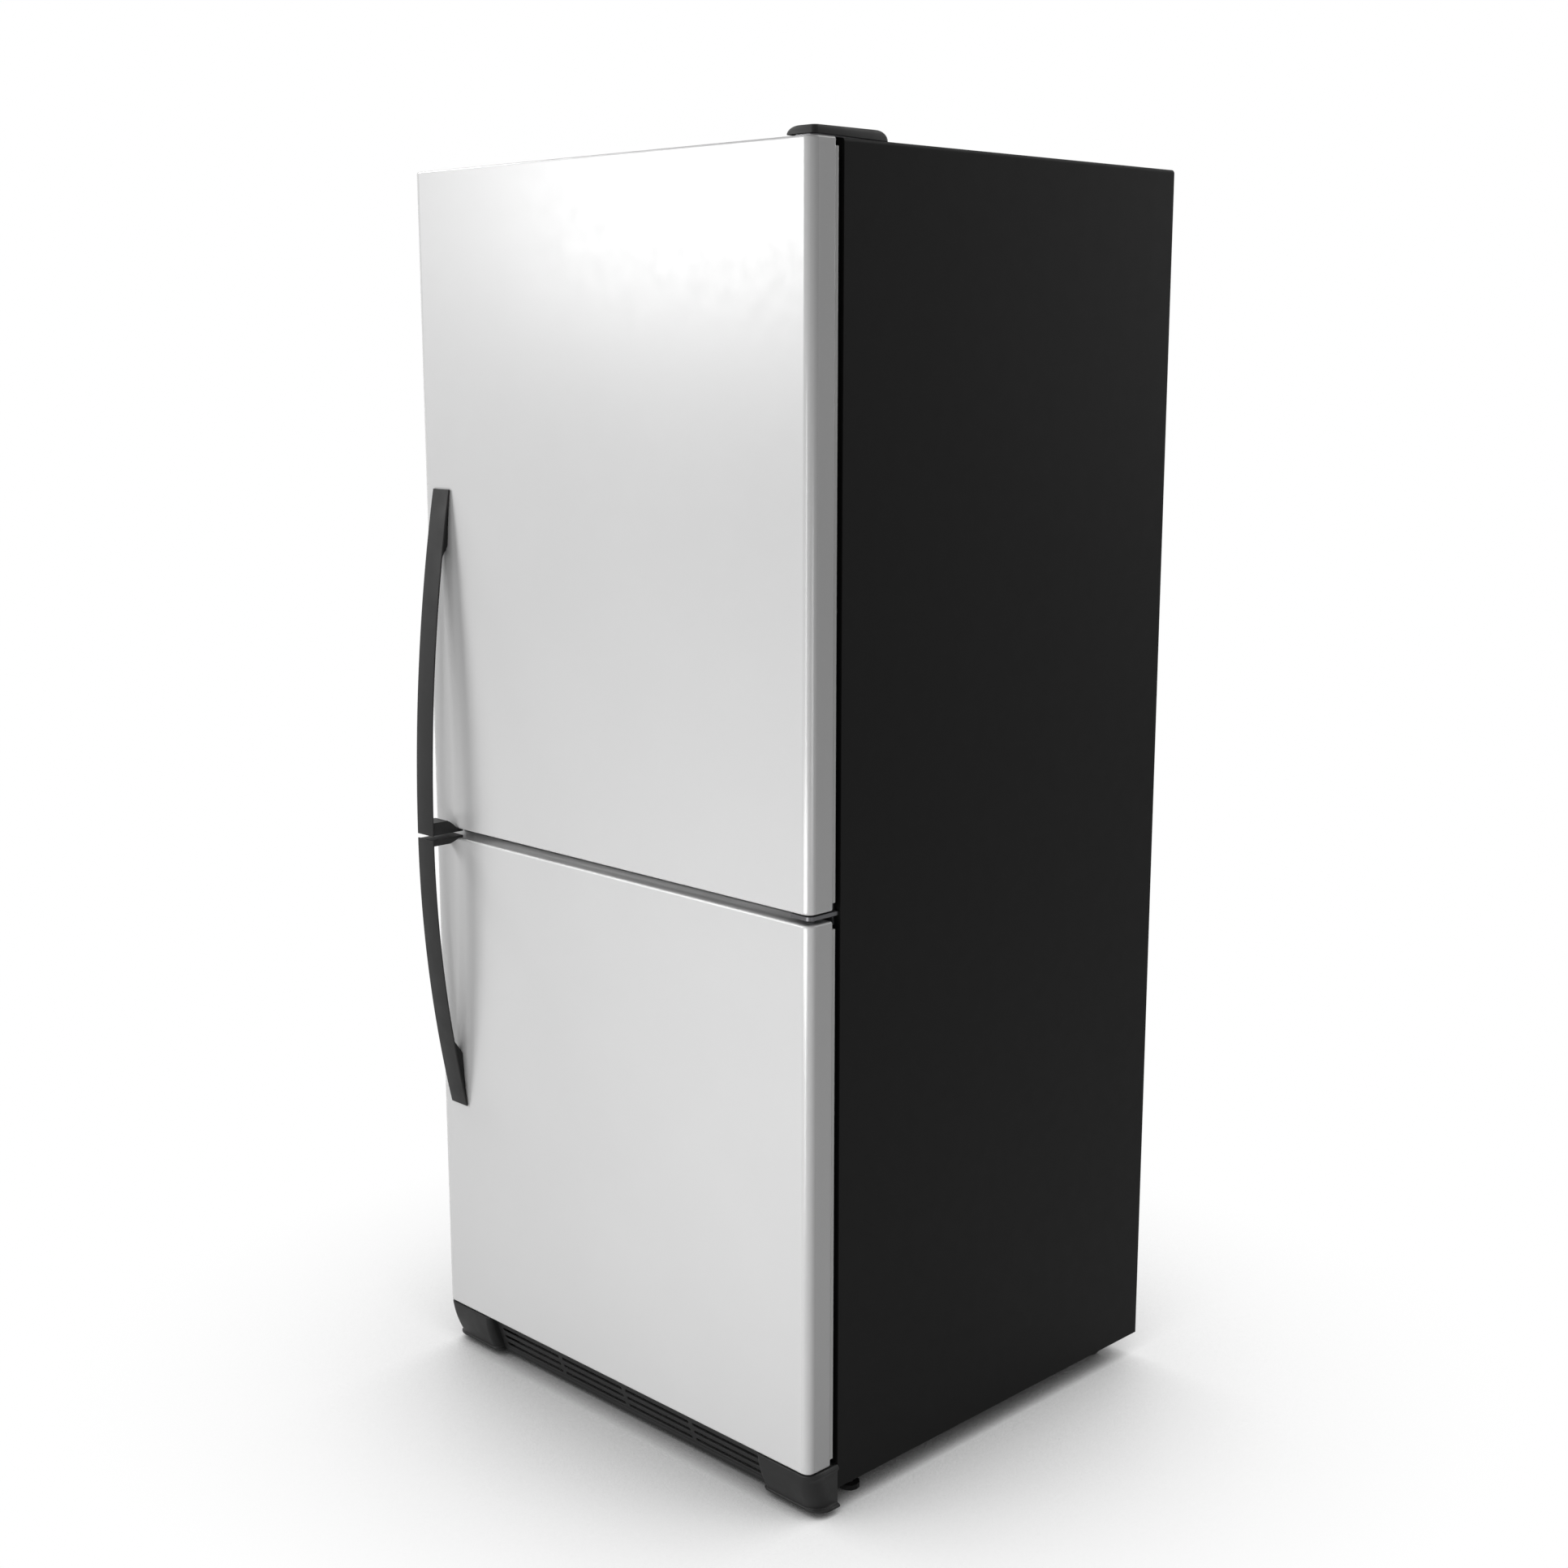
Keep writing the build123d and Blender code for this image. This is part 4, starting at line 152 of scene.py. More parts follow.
# Screws on the back
PANEL_SHEET = 0.001
REAR_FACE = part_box("back_panel")[0].y + PANEL_SHEET  # the machine cover is flush with it
SCREW_RADIUS = 0.005
SCREW_RISE = 0.0022
SCREW_SEAT = 0.0003
SCREW_RINGS, SCREW_SPOKES = 12, 32
CROSS_HALF, CROSS_DEPTH = 0.0006, 0.0014
CROSS_REACH, CROSS_END = 0.6, 16  # share of the radius that it covers, and how abruptly it ends
PANEL_SCREWS = ((-0.345, 0.345), (0.325, 1.66), 7)  # columns, lowest and highest, count
TOP_SCREWS = (-0.1725, 0.0, 0.1725)
COVER_SCREWS = ((-0.345, 0.05), (-0.345, 0.285), (0.0, 0.285), (0.345, 0.05), (0.345, 0.285))

# Marks round the dials
MARK_COUNT = 7
MARK_SWEEP = 135.0  # first and last mark from the top, in degrees
MARK_GAP = 0.002  # from the dial to its marks
MARK_LENGTH = 0.0025
MARK_WIDTHS = (0.0005, 0.0018)
MARK_RISE = 0.0002

# Finishes
TEXTURE_RANGE = (0.3, 0.7)  # part of a noise texture's range that most of it lies in
GLOSS_CELLS = 40.0  # patches of gloss to the metre
BEVEL_SAMPLES = 4
CLEAR_SPREAD, CLEAR_GRAIN, CLEAR_DEPTH = 0.02, 900.0, 2e-5
CLEAR_IOR = 1.49

# Studio
FLOOR_RADIUS = 12.0
FLOOR_RINGS, FLOOR_SPOKES = 12, 64
FLOOR_BOUNCE = 0.30  # share of the light that the floor sends back to the object
SHADE_REACH = 0.60  # how far the object's soft shadow spreads
SHADE_SAMPLES = 6
SHADE_TONES = (  # share of the sky seen, tone
    (0.0, 0.0), (0.2, 0.04), (0.4, 0.24), (0.5, 0.40), (0.75, 0.90), (1.0, 1.0),
)
AMBIENT = 0.06
LAMPS = (  # name, place, target, size, power
    ("left_key", (-2.2, -1.8, 2.8), (-0.1, -0.3, 1.0), (0.45, 0.6), 4),
    ("front_softbox", (-1.92, -2.4, 2.0), (0.1, -0.3, 1.4), (0.95, 0.85), 31),
    ("front_strip", (0.4, -1.25, 0.7), (0.36, -0.3, 0.65), (0.18, 1.4), 3),
    ("low_fill", (0.36, -2.4, 0.25), (0.3, -0.3, 0.3), (1.8, 0.5), 15),
    ("side_fill", (2.7, -0.9, 0.7), (0.38, -0.3, 0.6), (0.8, 0.8), 4),
    ("edge_left", (-2.6, -0.6, 3.2), (0, -0.3, 0.9), (0.6, 0.6), 30),
    ("edge_back", (1.17, 1.96, 3.46), (0.37, -0.3, 1.2), (0.6, 0.6), 11),
    ("rear_softbox", (0, 3.6, 1.9), (0, 0.4, 0.9), (2.4, 1.8), 60),
)

# Camera, as the photograph was taken
IMAGE_SIZE = 1932
FOCAL_PIXELS = 2680.0
CAMERA_PLACE = (2.1329, -2.1227, 1.4585)
CAMERA_YAW = 45.0
CAMERA_PITCH = 11.24
SENSOR = 36.0


def quads(rows, columns, close_rows=False, close_columns=False):
    """Corner numbers of the quads between the neighbours of a grid, row by row."""
    row = np.arange(rows if close_rows else rows - 1)[:, None]
    column = np.arange(columns if close_columns else columns - 1)[None, :]
    below, beside = (row + 1) % rows, (column + 1) % columns
    corners = (row * columns + column, row * columns + beside)
    corners += (below * columns + beside, below * columns + column)
    return np.stack(np.broadcast_arrays(*corners), -1)


def patch(points, close_rows=False, close_columns=False, drop=None):
    """One grid of points as (points, quads). `drop` marks cells that are left open."""
    points = np.asarray(points, float)
    cells = quads(*points.shape[:2], close_rows, close_columns)
    if drop is not None:
        cells = cells[~drop]
    return points.reshape(-1, 3), cells.reshape(-1, 4)


def lid(ring):
    """Flat end: a ring of points folded in two, with quads between its halves."""
    half = len(ring) // 2
    return patch(np.stack([ring[:half], ring[half:][::-1]]))


def piece(name, patches, body, slot, replaces=(), sharp=30, sheet=0.0):
    """Joins patches into one mesh in its slot's finish, smooth below `sharp` degrees, on a body.

    Neighbouring patches share their edges by position, so doubles are merged and normals recalculated.
    An open mesh becomes a closed one by its wall, `sheet` thick.
    """
    points, cells, count = [], [], 0
    for part_points, part_cells in patches:
        points.append(part_points)
        cells.append(part_cells + count)
        count += len(part_points)
    mesh = bpy.data.meshes.new(name)
    mesh.from_pydata(np.concatenate(points).tolist(), [], np.concatenate(cells).tolist())
    form = bmesh.new()
    form.from_mesh(mesh)
    bmesh.ops.remove_doubles(form, verts=form.verts, dist=MERGE)
    bmesh.ops.dissolve_degenerate(form, edges=form.edges, dist=MERGE)
    bmesh.ops.recalc_face_normals(form, faces=form.faces)
    form.to_mesh(mesh)
    form.free()
    mesh.shade_smooth()
    mesh.set_sharp_from_angle(angle=radians(sharp))
    mesh.materials.append(FINISHES[slot])
    built = bpy.data.objects.new(name, mesh)
    bpy.context.scene.collection.objects.link(built)
    if sheet:
        wall = built.modifiers.new("wall", "SOLIDIFY")
        wall.thickness = sheet
        wall.offset = -1
    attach(built, body)
    if replaces:
        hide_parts(*replaces)
    return built


def with_support(low, high):
    """A straight run as four values: its ends and a line just inside each."""
    return np.array([low, low + SUPPORT, high - SUPPORT, high])


# Finishes: every colour, grain and gloss comes from nodes on Object coordinates


def node(tree, kind, **settings):
    """A new shader node. Settings that name a socket set its value, and others set the node."""
    made = tree.nodes.new(kind)
    for name, value in settings.items():
        socket = name.replace("_", " ").title()
        if socket in made.inputs:
            made.inputs[socket].default_value = value
        else:
            setattr(made, name, value)
    return made


def noise(tree, scale, detail=2.0):
    """Noise with `scale` cells to the metre on Object coordinates."""
    place = node(tree, "ShaderNodeTexCoord")
    grain = node(tree, "ShaderNodeTexNoise", scale=scale, detail=detail)
    tree.links.new(place.outputs["Object"], grain.inputs["Vector"])
    return grain.outputs["Fac"]


def between(tree, factor, low, high):
    """A number that runs from low to high over the middle of a texture's range."""
    start, end = TEXTURE_RANGE
    spread = node(tree, "ShaderNodeMapRange", from_min=start, from_max=end, to_min=low, to_max=high)
    tree.links.new(factor, spread.inputs["Value"])
    return spread.outputs["Result"]


def tints(tree, factor, dark, light):
    """A colour that runs from dark to light over the middle of a texture's range."""
    ramp = node(tree, "ShaderNodeValToRGB")
    for stop, place, colour in zip(ramp.color_ramp.elements, TEXTURE_RANGE, (dark, light)):
        stop.position = place
        stop.color = (*colour, 1)
    tree.links.new(factor, ramp.inputs["Fac"])
    return ramp.outputs["Color"]


def moulded(
    name, colour, spread, gloss, grain, depth, metallic=0.0, specular=0.5, edge=0.0008, cells=6.0,
):
    """A hard finish: colour and roughness drift, and a fine grain stands out by `depth`.

    The colour drifts by `spread` in `cells` to the metre, and the grain has `grain` cells to the metre.
    The edges of the solids are rounded by `edge` where light meets them.
    """
    made = bpy.data.materials.new(name)
    made.use_nodes = True
    tree = made.node_tree
    shader = tree.nodes["Principled BSDF"]
    shader.inputs["Metallic"].default_value = metallic
    shader.inputs["Specular IOR Level"].default_value = specular
    colour = np.array(colour)
    drift = noise(tree, cells, detail=3.0)
    dark, light = colour * (1 - spread), np.minimum(colour * (1 + spread), 1)
    tree.links.new(tints(tree, drift, dark, light), shader.inputs["Base Color"])
    tree.links.new(between(tree, noise(tree, GLOSS_CELLS), *gloss), shader.inputs["Roughness"])
    rounding = node(tree, "ShaderNodeBevel", samples=BEVEL_SAMPLES, radius=edge)
    bump = node(tree, "ShaderNodeBump", strength=1.0, distance=depth)
    tree.links.new(noise(tree, grain), bump.inputs["Height"])
    tree.links.new(rounding.outputs["Normal"], bump.inputs["Normal"])
    tree.links.new(bump.outputs["Normal"], shader.inputs["Normal"])
    return made


def see_through(name, colour, gloss, weight):
    """A clear finish that lets light through, with a faint cloudiness."""
    made = moulded(name, colour, CLEAR_SPREAD, gloss, CLEAR_GRAIN, CLEAR_DEPTH)
    shader = made.node_tree.nodes["Principled BSDF"]
    shader.inputs["Transmission Weight"].default_value = weight
    shader.inputs["IOR"].default_value = CLEAR_IOR
    return made


def sleek_bends(made):
    """Smoother paint where the doors' upright front edges bend, found from X and Y."""
    tree = made.node_tree
    rough = tree.nodes["Principled BSDF"].inputs["Roughness"]
    place = node(tree, "ShaderNodeTexCoord")
    axes = node(tree, "ShaderNodeSeparateXYZ")
    side = node(tree, "ShaderNodeMath", operation="ABSOLUTE")
    both = node(tree, "ShaderNodeMath", operation="MULTIPLY")
    start, end = SIDE - SIDE_EDGE, FRONT + SIDE_EDGE
    beside = node(tree, "ShaderNodeMapRange", from_min=start - BEND_FADE, from_max=start + BEND_FADE)
    ahead = node(tree, "ShaderNodeMapRange", from_min=end + BEND_FADE, from_max=end - BEND_FADE)
    blend = node(tree, "ShaderNodeMapRange", to_max=BEND_ROUGHNESS)
    tree.links.new(place.outputs["Object"], axes.inputs["Vector"])
    tree.links.new(axes.outputs["X"], side.inputs[0])
    tree.links.new(side.outputs["Value"], beside.inputs["Value"])
    tree.links.new(axes.outputs["Y"], ahead.inputs["Value"])
    tree.links.new(beside.outputs["Result"], both.inputs[0])
    tree.links.new(ahead.outputs["Result"], both.inputs[1])
    tree.links.new(both.outputs["Value"], blend.inputs["Value"])
    tree.links.new(rough.links[0].from_socket, blend.inputs["To Min"])
    tree.links.new(blend.outputs["Result"], rough)


# One finish for each material slot: colour, its spread, roughness, cells and depth of the grain
FINISHES = {
    "door_skin": moulded(
        "satin_door_paint", (0.78, 0.78, 0.78), 0.01, (0.29, 0.33), 1400, 4e-6, specular=1.0,
    ),
    "cabinet_paint": moulded(
        "black_cabinet_paint", (0.0105, 0.0105, 0.0105), 0.06, (0.54, 0.57), 1600, 5e-6, specular=0.08,
    ),
    "black_plastic": moulded(
        "black_grained_plastic", (0.022, 0.022, 0.022), 0.08, (0.45, 0.55), 2200, 1.2e-5, specular=0.2,
    ),
    "galvanised_sheet": moulded(
        "zinc_sheet", (0.50, 0.51, 0.52), 0.10, (0.42, 0.55), 500, 4e-6, metallic=0.9, cells=70.0,
    ),
    "hinge_steel": moulded(
        "zinc_plated_hinge", (0.10, 0.10, 0.105), 0.10, (0.3, 0.45), 900, 6e-6, metallic=0.7,
    ),
    "rail_paint": moulded("mullion_paint", (0.20, 0.20, 0.20), 0.06, (0.4, 0.5), 900, 6e-6),
    "foam": moulded("rigid_foam", (0.80, 0.70, 0.46), 0.10, (0.85, 0.95), 350, 6e-4, edge=0.0),
    "white_plastic": moulded(
        "white_liner_plastic", (0.84, 0.84, 0.83), 0.01, (0.28, 0.36), 800, 8e-6,
    ),
    "gasket_rubber": moulded(
        "gasket_rubber", (0.030, 0.030, 0.031), 0.10, (0.6, 0.72), 1200, 1e-5, specular=0.3,
    ),
    "clear_plastic": see_through("clear_tub_plastic", (0.93, 0.96, 0.97), (0.06, 0.14), 0.85),
    "shelf_glass": see_through("shelf_glass", (0.80, 0.93, 0.88), (0.01, 0.04), 0.95),
    "control_grey": moulded(
        "control_grey_plastic", (0.42, 0.43, 0.44), 0.03, (0.38, 0.48), 1400, 8e-6,
    ),
    "compressor_paint": moulded(
        "black_shell_paint", (0.018, 0.018, 0.018), 0.08, (0.22, 0.32), 400, 1e-5,
    ),
    "coil_metal": moulded(
        "coil_aluminium", (0.70, 0.70, 0.71), 0.08, (0.35, 0.5), 800, 6e-6, metallic=1.0,
    ),
}
sleek_bends(FINISHES["door_skin"])
for subpart in frame["record"]["subparts"]:
    frame["nodes"][subpart["node"]].material_slots[0].material = FINISHES[subpart["material_slot"]]

# The base frame is sheet too, but dark: painted shade, a dark sheet behind the grille's slots where
# under the cabinet there is only shade
PAINTED_SHADE_SHEET = moulded(
    "base_frame_painted_shade", (0.020, 0.020, 0.021), 0.12, (0.45, 0.6), 500, 6e-6, metallic=0.2, specular=0.2,
)
frame["nodes"]["base_frame"].material_slots[0].material = PAINTED_SHADE_SHEET


# Doors


def door_plan():
    """Closed plan line of a door: sides, rounded front edges, front and open back.

    Each point comes with the way in which it is drawn in where the top and bottom edges round off.
    """
    centre = SIDE - SIDE_EDGE
    turn = np.radians(np.linspace(180, 270, EDGE_STEPS + 1))
    left_arc = np.stack([SIDE_EDGE * np.cos(turn) - centre, SIDE_EDGE * (1 + np.sin(turn)) + FRONT], -1)
    left_way = np.stack([-np.cos(turn), -np.sin(turn)], -1)
    runs = with_support(FRONT + SIDE_EDGE, SKIN_BACK)[::-1][:SIDE_POINTS]
    left_side = np.stack([np.full(SIDE_POINTS, -SIDE), runs], -1)
    across = with_support(-centre, centre)[1:-1]
    front = np.stack([across, np.full_like(across, FRONT)], -1)
    mirror = np.array([-1, 1])
    points = [left_side, left_arc, front, left_arc[::-1] * mirror, left_side[::-1] * mirror]
    ways = [np.full((SIDE_POINTS, 2), (1, 0)), left_way, np.full(front.shape, (0, 1))]
    ways += [left_way[::-1] * mirror, np.full((SIDE_POINTS, 2), (-1, 0))]
    mouth = SIDE - SKIN_RETURN
    points.append(np.array([(mouth, SKIN_BACK), (-mouth, SKIN_BACK)]))
    ways.append(np.zeros((MOUTH_POINTS, 2)))
    return np.concatenate(points), np.concatenate(ways)


def door_panel(door):
    """Bent steel panel: the plan line carried upwards, drawn in by R (1 - sin a) at its ends.

    The back is left open inside the fold, and each end has a square hole for the hinge insert.
    """
    low, high = (corner.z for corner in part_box(f"{door}_door_skin"))
    plan, way = door_plan()
    turn = np.radians(np.linspace(0, 90, EDGE_STEPS // 2 + 2))
    drawn, rise = END_EDGE * (1 - np.sin(turn)), END_EDGE * (1 - np.cos(turn))
    folds = np.array([SUPPORT, SKIN_RETURN - END_EDGE])
    levels = np.concatenate([low + rise, low + END_EDGE + folds])
    levels = np.concatenate([levels, (low + high) - levels[::-1]])
    inset = np.concatenate([drawn, np.zeros_like(folds)])
    inset = np.concatenate([inset, inset[::-1]])
    outline = plan + way * inset[:, None, None]
    shell = np.dstack([outline, np.broadcast_to(levels[:, None, None], (*outline.shape[:2], 1))])
    open_back = np.zeros((len(levels) - 1, len(plan)), bool)
    open_back[len(levels) // 2 - 1, -MOUTH_POINTS] = True
    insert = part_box(f"{door}_door_bushings")
    patches = [patch(shell, close_columns=True, drop=open_back)]
    rim = slice(SIDE_POINTS, len(plan) - SIDE_POINTS - MOUTH_POINTS)
    for level, end in ((low, 0), (high, -1)):
        edge = outline[end, rim]
        across = edge[:, 0].copy()
        hole = [np.abs(across - side).argmin() for side in (insert[0].x, insert[1].x)]
        across[hole] = insert[0].x, insert[1].x
        depths = (FRONT + SIDE_EDGE, insert[1].y, SKIN_BACK)
        rows = [edge] + [np.stack([across, np.full_like(across, depth)], -1) for depth in depths]
        flat = np.stack(rows)
        drop = np.zeros((len(depths), len(across) - 1), bool)
        drop[1, hole[0]:hole[1]] = True
        patches.append(patch(np.dstack([flat, np.full((*flat.shape[:2], 1), level)]), drop=drop))
    piece(
        f"{door}_door_panel", patches, f"{door}_door", "door_skin",
        replaces=[f"{door}_door_skin"], sheet=SHEET,
    )


def bar(levels, front, back, left, right, edge):
    """Closed bar: level slices, each a rectangle with corners rounded by `edge`, and flat ends."""
    turn = np.radians(np.linspace(0, 90, CORNER_STEPS))
    inward, onward = edge * (1 - np.cos(turn)), edge * (1 - np.sin(turn))
    side = np.concatenate([inward[::-1], inward])
    nudge = np.concatenate([onward[::-1], -onward])
    share = np.repeat([0.0, 1.0], len(turn))
    levels, front, back, left, right = (
        np.broadcast_to(value, np.shape(levels))[:, None] for value in (levels, front, back, left, right)
    )
    across = np.concatenate([left + side, right - side[::-1]], 1)
    share, nudge = np.concatenate([share, share[::-1]]), np.concatenate([nudge, nudge[::-1]])
    deep = front + share * (back - front) + nudge
    slices = np.stack([across, deep, np.broadcast_to(levels, deep.shape)], -1)
    return [patch(slices, close_columns=True), lid(slices[0]), lid(slices[-1])]


def handle(door, leg):
    """Bowed strap on two legs, each a stack of level slices.

    The strap's front is an arc that starts upright at the gap between the doors and ends on the door.
    The near leg is level, then falls to the door by a power of the depth. The far leg fills the sharp
    corner between the strap and the door, and leaves the strap by a square law.
    """
    low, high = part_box(f"{door}_door_handle")
    outward = 1 if door == "fridge" else -1
    start = low.z if outward == 1 else high.z
    length = high.z - low.z
    left, right = low.x + HANDLE_SHIFT, high.x + HANDLE_SHIFT
    bow, tab = low.y, high.y
    rise = FRONT - HANDLE_TIP - bow
    radius = (length**2 + rise**2) / (2 * rise)

    def strap_front(along):
        return bow + radius - np.sqrt(radius**2 - along**2)

    along = np.linspace(0, length, BOW_STEPS)
    front = strap_front(along)
    patches = bar(start + outward * along, front, front + HANDLE_THICK, left, right, HANDLE_EDGE)

    ledge, sweep = leg
    step = np.linspace(0, 1, LEG_STEPS)
    height = HANDLE_TAB + step * (ledge - HANDLE_TAB)
    curve = FRONT - sweep * (1 - (1 - step) ** (1 / LEG_CURVE))
    height = np.concatenate([[0, HANDLE_TAB], height])
    curve = np.concatenate([[tab, tab], curve])
    patches += bar(
        start + outward * height, bow + HANDLE_THICK / 2, curve,
        left + LEG_INSET, right - LEG_INSET, HANDLE_EDGE,
    )

    along = length - np.linspace(STEM_LENGTH, HANDLE_SEAT, STEM_STEPS)
    inner = strap_front(along) + HANDLE_THICK
    lean = np.clip((along - length + STEM_LENGTH) / (STEM_LENGTH - STEM_SEAT), 0, 1) ** 2
    stem = inner + (FRONT - HANDLE_SEAT - inner) * lean
    inset = np.interp(along, [length - STEM_LENGTH, length], STEM_INSET[::-1])
    patches += bar(
        start + outward * along, inner - HANDLE_THICK / 2, stem,
        left + inset, right - inset, HANDLE_EDGE / 2,
    )
    piece(
        f"{door}_handle_grip", patches, f"{door}_door", "black_plastic",
        replaces=[f"{door}_door_handle"], sharp=35,
    )


def gasket(door):
    """Folded seal: a closed bellows profile carried round a rectangle, with mitred corners.

    Each point of the profile makes a rectangle that is larger by its distance from the middle.
    """
    low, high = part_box(f"{door}_door_gasket")
    half = np.array(GASKET_PROFILE)
    profile = np.concatenate([half, half[::-1] * (-1, 1)])
    out, deep = profile[:, :1] - GASKET_HALF, low.y + profile[:, 1:]
    across = np.array([-1, 1, 1, -1]) * (high.x + out)
    up = (low.z + high.z) / 2 + np.array([-1, -1, 1, 1]) * ((high.z - low.z) / 2 + out)
    rings = np.stack([across, np.broadcast_to(deep, across.shape), up], -1)
    piece(
        f"{door}_door_seal", [patch(rings, close_rows=True, close_columns=True)],
        f"{door}_door", "gasket_rubber", replaces=[f"{door}_door_gasket"],
    )


for door, leg in (("fridge", FRIDGE_LEG), ("freezer", FREEZER_LEG)):
    door_panel(door)
    handle(door, leg)
    gasket(door)


# Toe grille and hinge cover


def shroud(side):
    """Corner shroud: level plan lines from the plate round to the cabinet, stacked from lip to top.

    The face leans and bows by a square law of the height. The lip's flare is added all round, and the
    bead only on the outer side.
    """
    top = GRILLE_TOP - np.array(SHROUD_TOP)
    level = np.concatenate([LIP_LEVELS, np.linspace(*SHROUD_WALL), top])
    flare = np.interp(level, LIP_LEVELS, LIP_FLARE)
    share = (level - GRILLE_BASE) / (GRILLE_TOP - GRILLE_BASE)
    crown = np.interp(level, top, SHROUD_CROWN)
    bulge = 4 * SHROUD_BULGE * share * (1 - share)
    face = FRONT + SHROUD_LEAN * (1 - share) - bulge - flare / 2 + crown
    outer_radius = np.interp(share, (0, 1), SHROUD_CORNERS)[:, None]
    inner_radius = np.interp(share, (0, 1), SHROUD_EDGES)[:, None]
    bead = BEAD_RISE * np.exp(-(((level - BEAD_LEVEL) / BEAD_SPREAD) ** 2))
    inner = (SHROUD_INNER - LIP_INNER * flare)[:, None]
    outer = (SIDE + flare - crown)[:, None]
    face, bead = face[:, None], bead[:, None]
    turn = np.radians(np.linspace(0, 90, EDGE_STEPS + 1))
    near_x = inner + inner_radius * (1 - np.cos(turn))
    near_y = face + inner_radius * (1 - np.sin(turn))
    far_x = outer - outer_radius * (1 - np.sin(turn)) + bead * np.sin(turn) ** BEAD_FADE
    far_y = face + outer_radius * (1 - np.cos(turn))
    rear_x, rear_y = outer + bead, np.full_like(outer, CABINET_FRONT)
    plan_x = np.concatenate([inner, near_x, far_x, rear_x], 1)
    plan_y = np.concatenate([rear_y, near_y, far_y, rear_y], 1)
    wall = np.stack([side * plan_x, plan_y, np.broadcast_to(level[:, None], plan_x.shape)], -1)
    rim = wall[-1, 1:-1]
    back = rim.copy()
    back[:, 1] = CABINET_FRONT
    return [patch(wall), patch(np.stack([rim, back]))]


def slotted_plate():
    """Leaning plate: a profile carried across, open in rows and columns of slots.

    Lines beside each slot keep its edges tight when the plate is subdivided, which rounds its corners.
    """
    slots = np.array(SLOT_LEVELS)[:, None] + np.array([1, -1]) * SLOT_HALF
    lines = slots[:, :, None] + np.array([SLOT_EDGE, 0]) * np.array([1, -1])[None, :, None]
    lines[:, 1] = lines[:, 1, ::-1]
    level = np.concatenate([PLATE_HEAD, lines.ravel(), PLATE_FOOT])
    share = (level - GRILLE_BASE) / (GRILLE_TOP - GRILLE_BASE)
    deep = FRONT + PLATE_SETBACK + PLATE_LEAN * (1 - share)
    deep = deep - np.where(level < PLATE_STEP, PLATE_STEP_DEPTH, 0)
    deep = np.concatenate([[deep[0] + PLATE_RETURNS[0]], deep, [deep[-1] + PLATE_RETURNS[1]]])
    level = np.concatenate([[GRILLE_TOP], level, [GRILLE_BASE]])
    ends = np.linspace(-SLOT_FIELD, SLOT_FIELD, SLOT_COLUMNS + 1)
    first, last = ends[:-1] + SLOT_BAR / 2, ends[1:] - SLOT_BAR / 2
    inside = first[:, None] + (last - first)[:, None] * np.array(SLOT_LINES)
    lines = np.concatenate([first[:, None] - SLOT_EDGE, inside, last[:, None] + SLOT_EDGE], 1)
    plate_end = SHROUD_INNER + GRILLE_WALL
    across = np.concatenate([[-plate_end], lines.ravel(), [plate_end]])
    plate = np.stack(np.broadcast_arrays(across, deep[:, None], level[:, None]), -1)
    middle_x, middle_z = (across[1:] + across[:-1]) / 2, (level[1:] + level[:-1]) / 2
    in_column = ((middle_x[:, None] > first) & (middle_x[:, None] < last)).any(1)
    in_row = (np.abs(middle_z[:, None] - np.array(SLOT_LEVELS)) < SLOT_HALF).any(1)
    made = piece(
        "slotted_plate", [patch(plate, drop=in_row[:, None] & in_column)], "cabinet", "black_plastic",
        sheet=GRILLE_WALL,
    )
    smooth = made.modifiers.new("rounding", "SUBSURF")
    smooth.levels = smooth.render_levels = ROUNDING_LEVELS


def hinge_cap():
    """Hinge cover: rounded rectangles that close in by reach (1 - cos a) as they rise by sin a.

    Its lower edge is a little higher over the door than on the cabinet.
    """
    low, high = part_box("top_hinge_cover")
    turn = np.radians(np.linspace(0, 90, CAP_STEPS))[:, None]
    closing = 1 - np.cos(turn)
    left, right = low.x + CAP_REACH[0] * closing, high.x - CAP_REACH[1] * closing
    front, rear = low.y + CAP_REACH[2] * closing, high.y - CAP_REACH[3] * closing
    quarters = [np.linspace(start, start + 90, CAP_CORNER_STEPS) for start in (180, 270, 0, 90)]
    angle = np.radians(np.concatenate(quarters))
    over_x = np.repeat([0, 1, 1, 0], CAP_CORNER_STEPS)
    over_y = np.repeat([0, 0, 1, 1], CAP_CORNER_STEPS)
    across = np.where(over_x, right - CAP_CORNER, left + CAP_CORNER) + CAP_CORNER * np.cos(angle)
    deep = np.where(over_y, rear - CAP_CORNER, front + CAP_CORNER) + CAP_CORNER * np.sin(angle)
    base = low.z + CAP_LIFT * np.clip((CABINET_FRONT - deep) / CAP_CORNER, 0, 1)
    rings = np.stack([across, deep, base + (high.z - base) * np.sin(turn)], -1)
    piece(
        "hinge_cap", [patch(rings, close_columns=True), lid(rings[0]), lid(rings[-1])],
        "cabinet", "black_plastic", replaces=["top_hinge_cover"], sharp=40,
    )


piece(
    "corner_shrouds", shroud(1) + shroud(-1), "cabinet", "black_plastic",
    replaces=["toe_grille"], sheet=GRILLE_WALL, sharp=50,
)
slotted_plate()
hinge_cap()


# Small parts


def mouth_seam():
    """Strip above the fridge opening: a straight bar with rounded edges, on top of the liner."""
    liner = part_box("fridge_liner")[1]
    end, base = liner.x + SEAM_OVERHANG, liner.z + SEAM_GAP
    levels = np.array([base, base + SEAM_HEIGHT])
    front, back = CABINET_FRONT + SEAM_SETBACK, CABINET_FRONT + SEAM_DEPTH
    piece("mouth_seam", bar(levels, front, back, -end, end, SEAM_EDGE), "cabinet", "cabinet_paint")


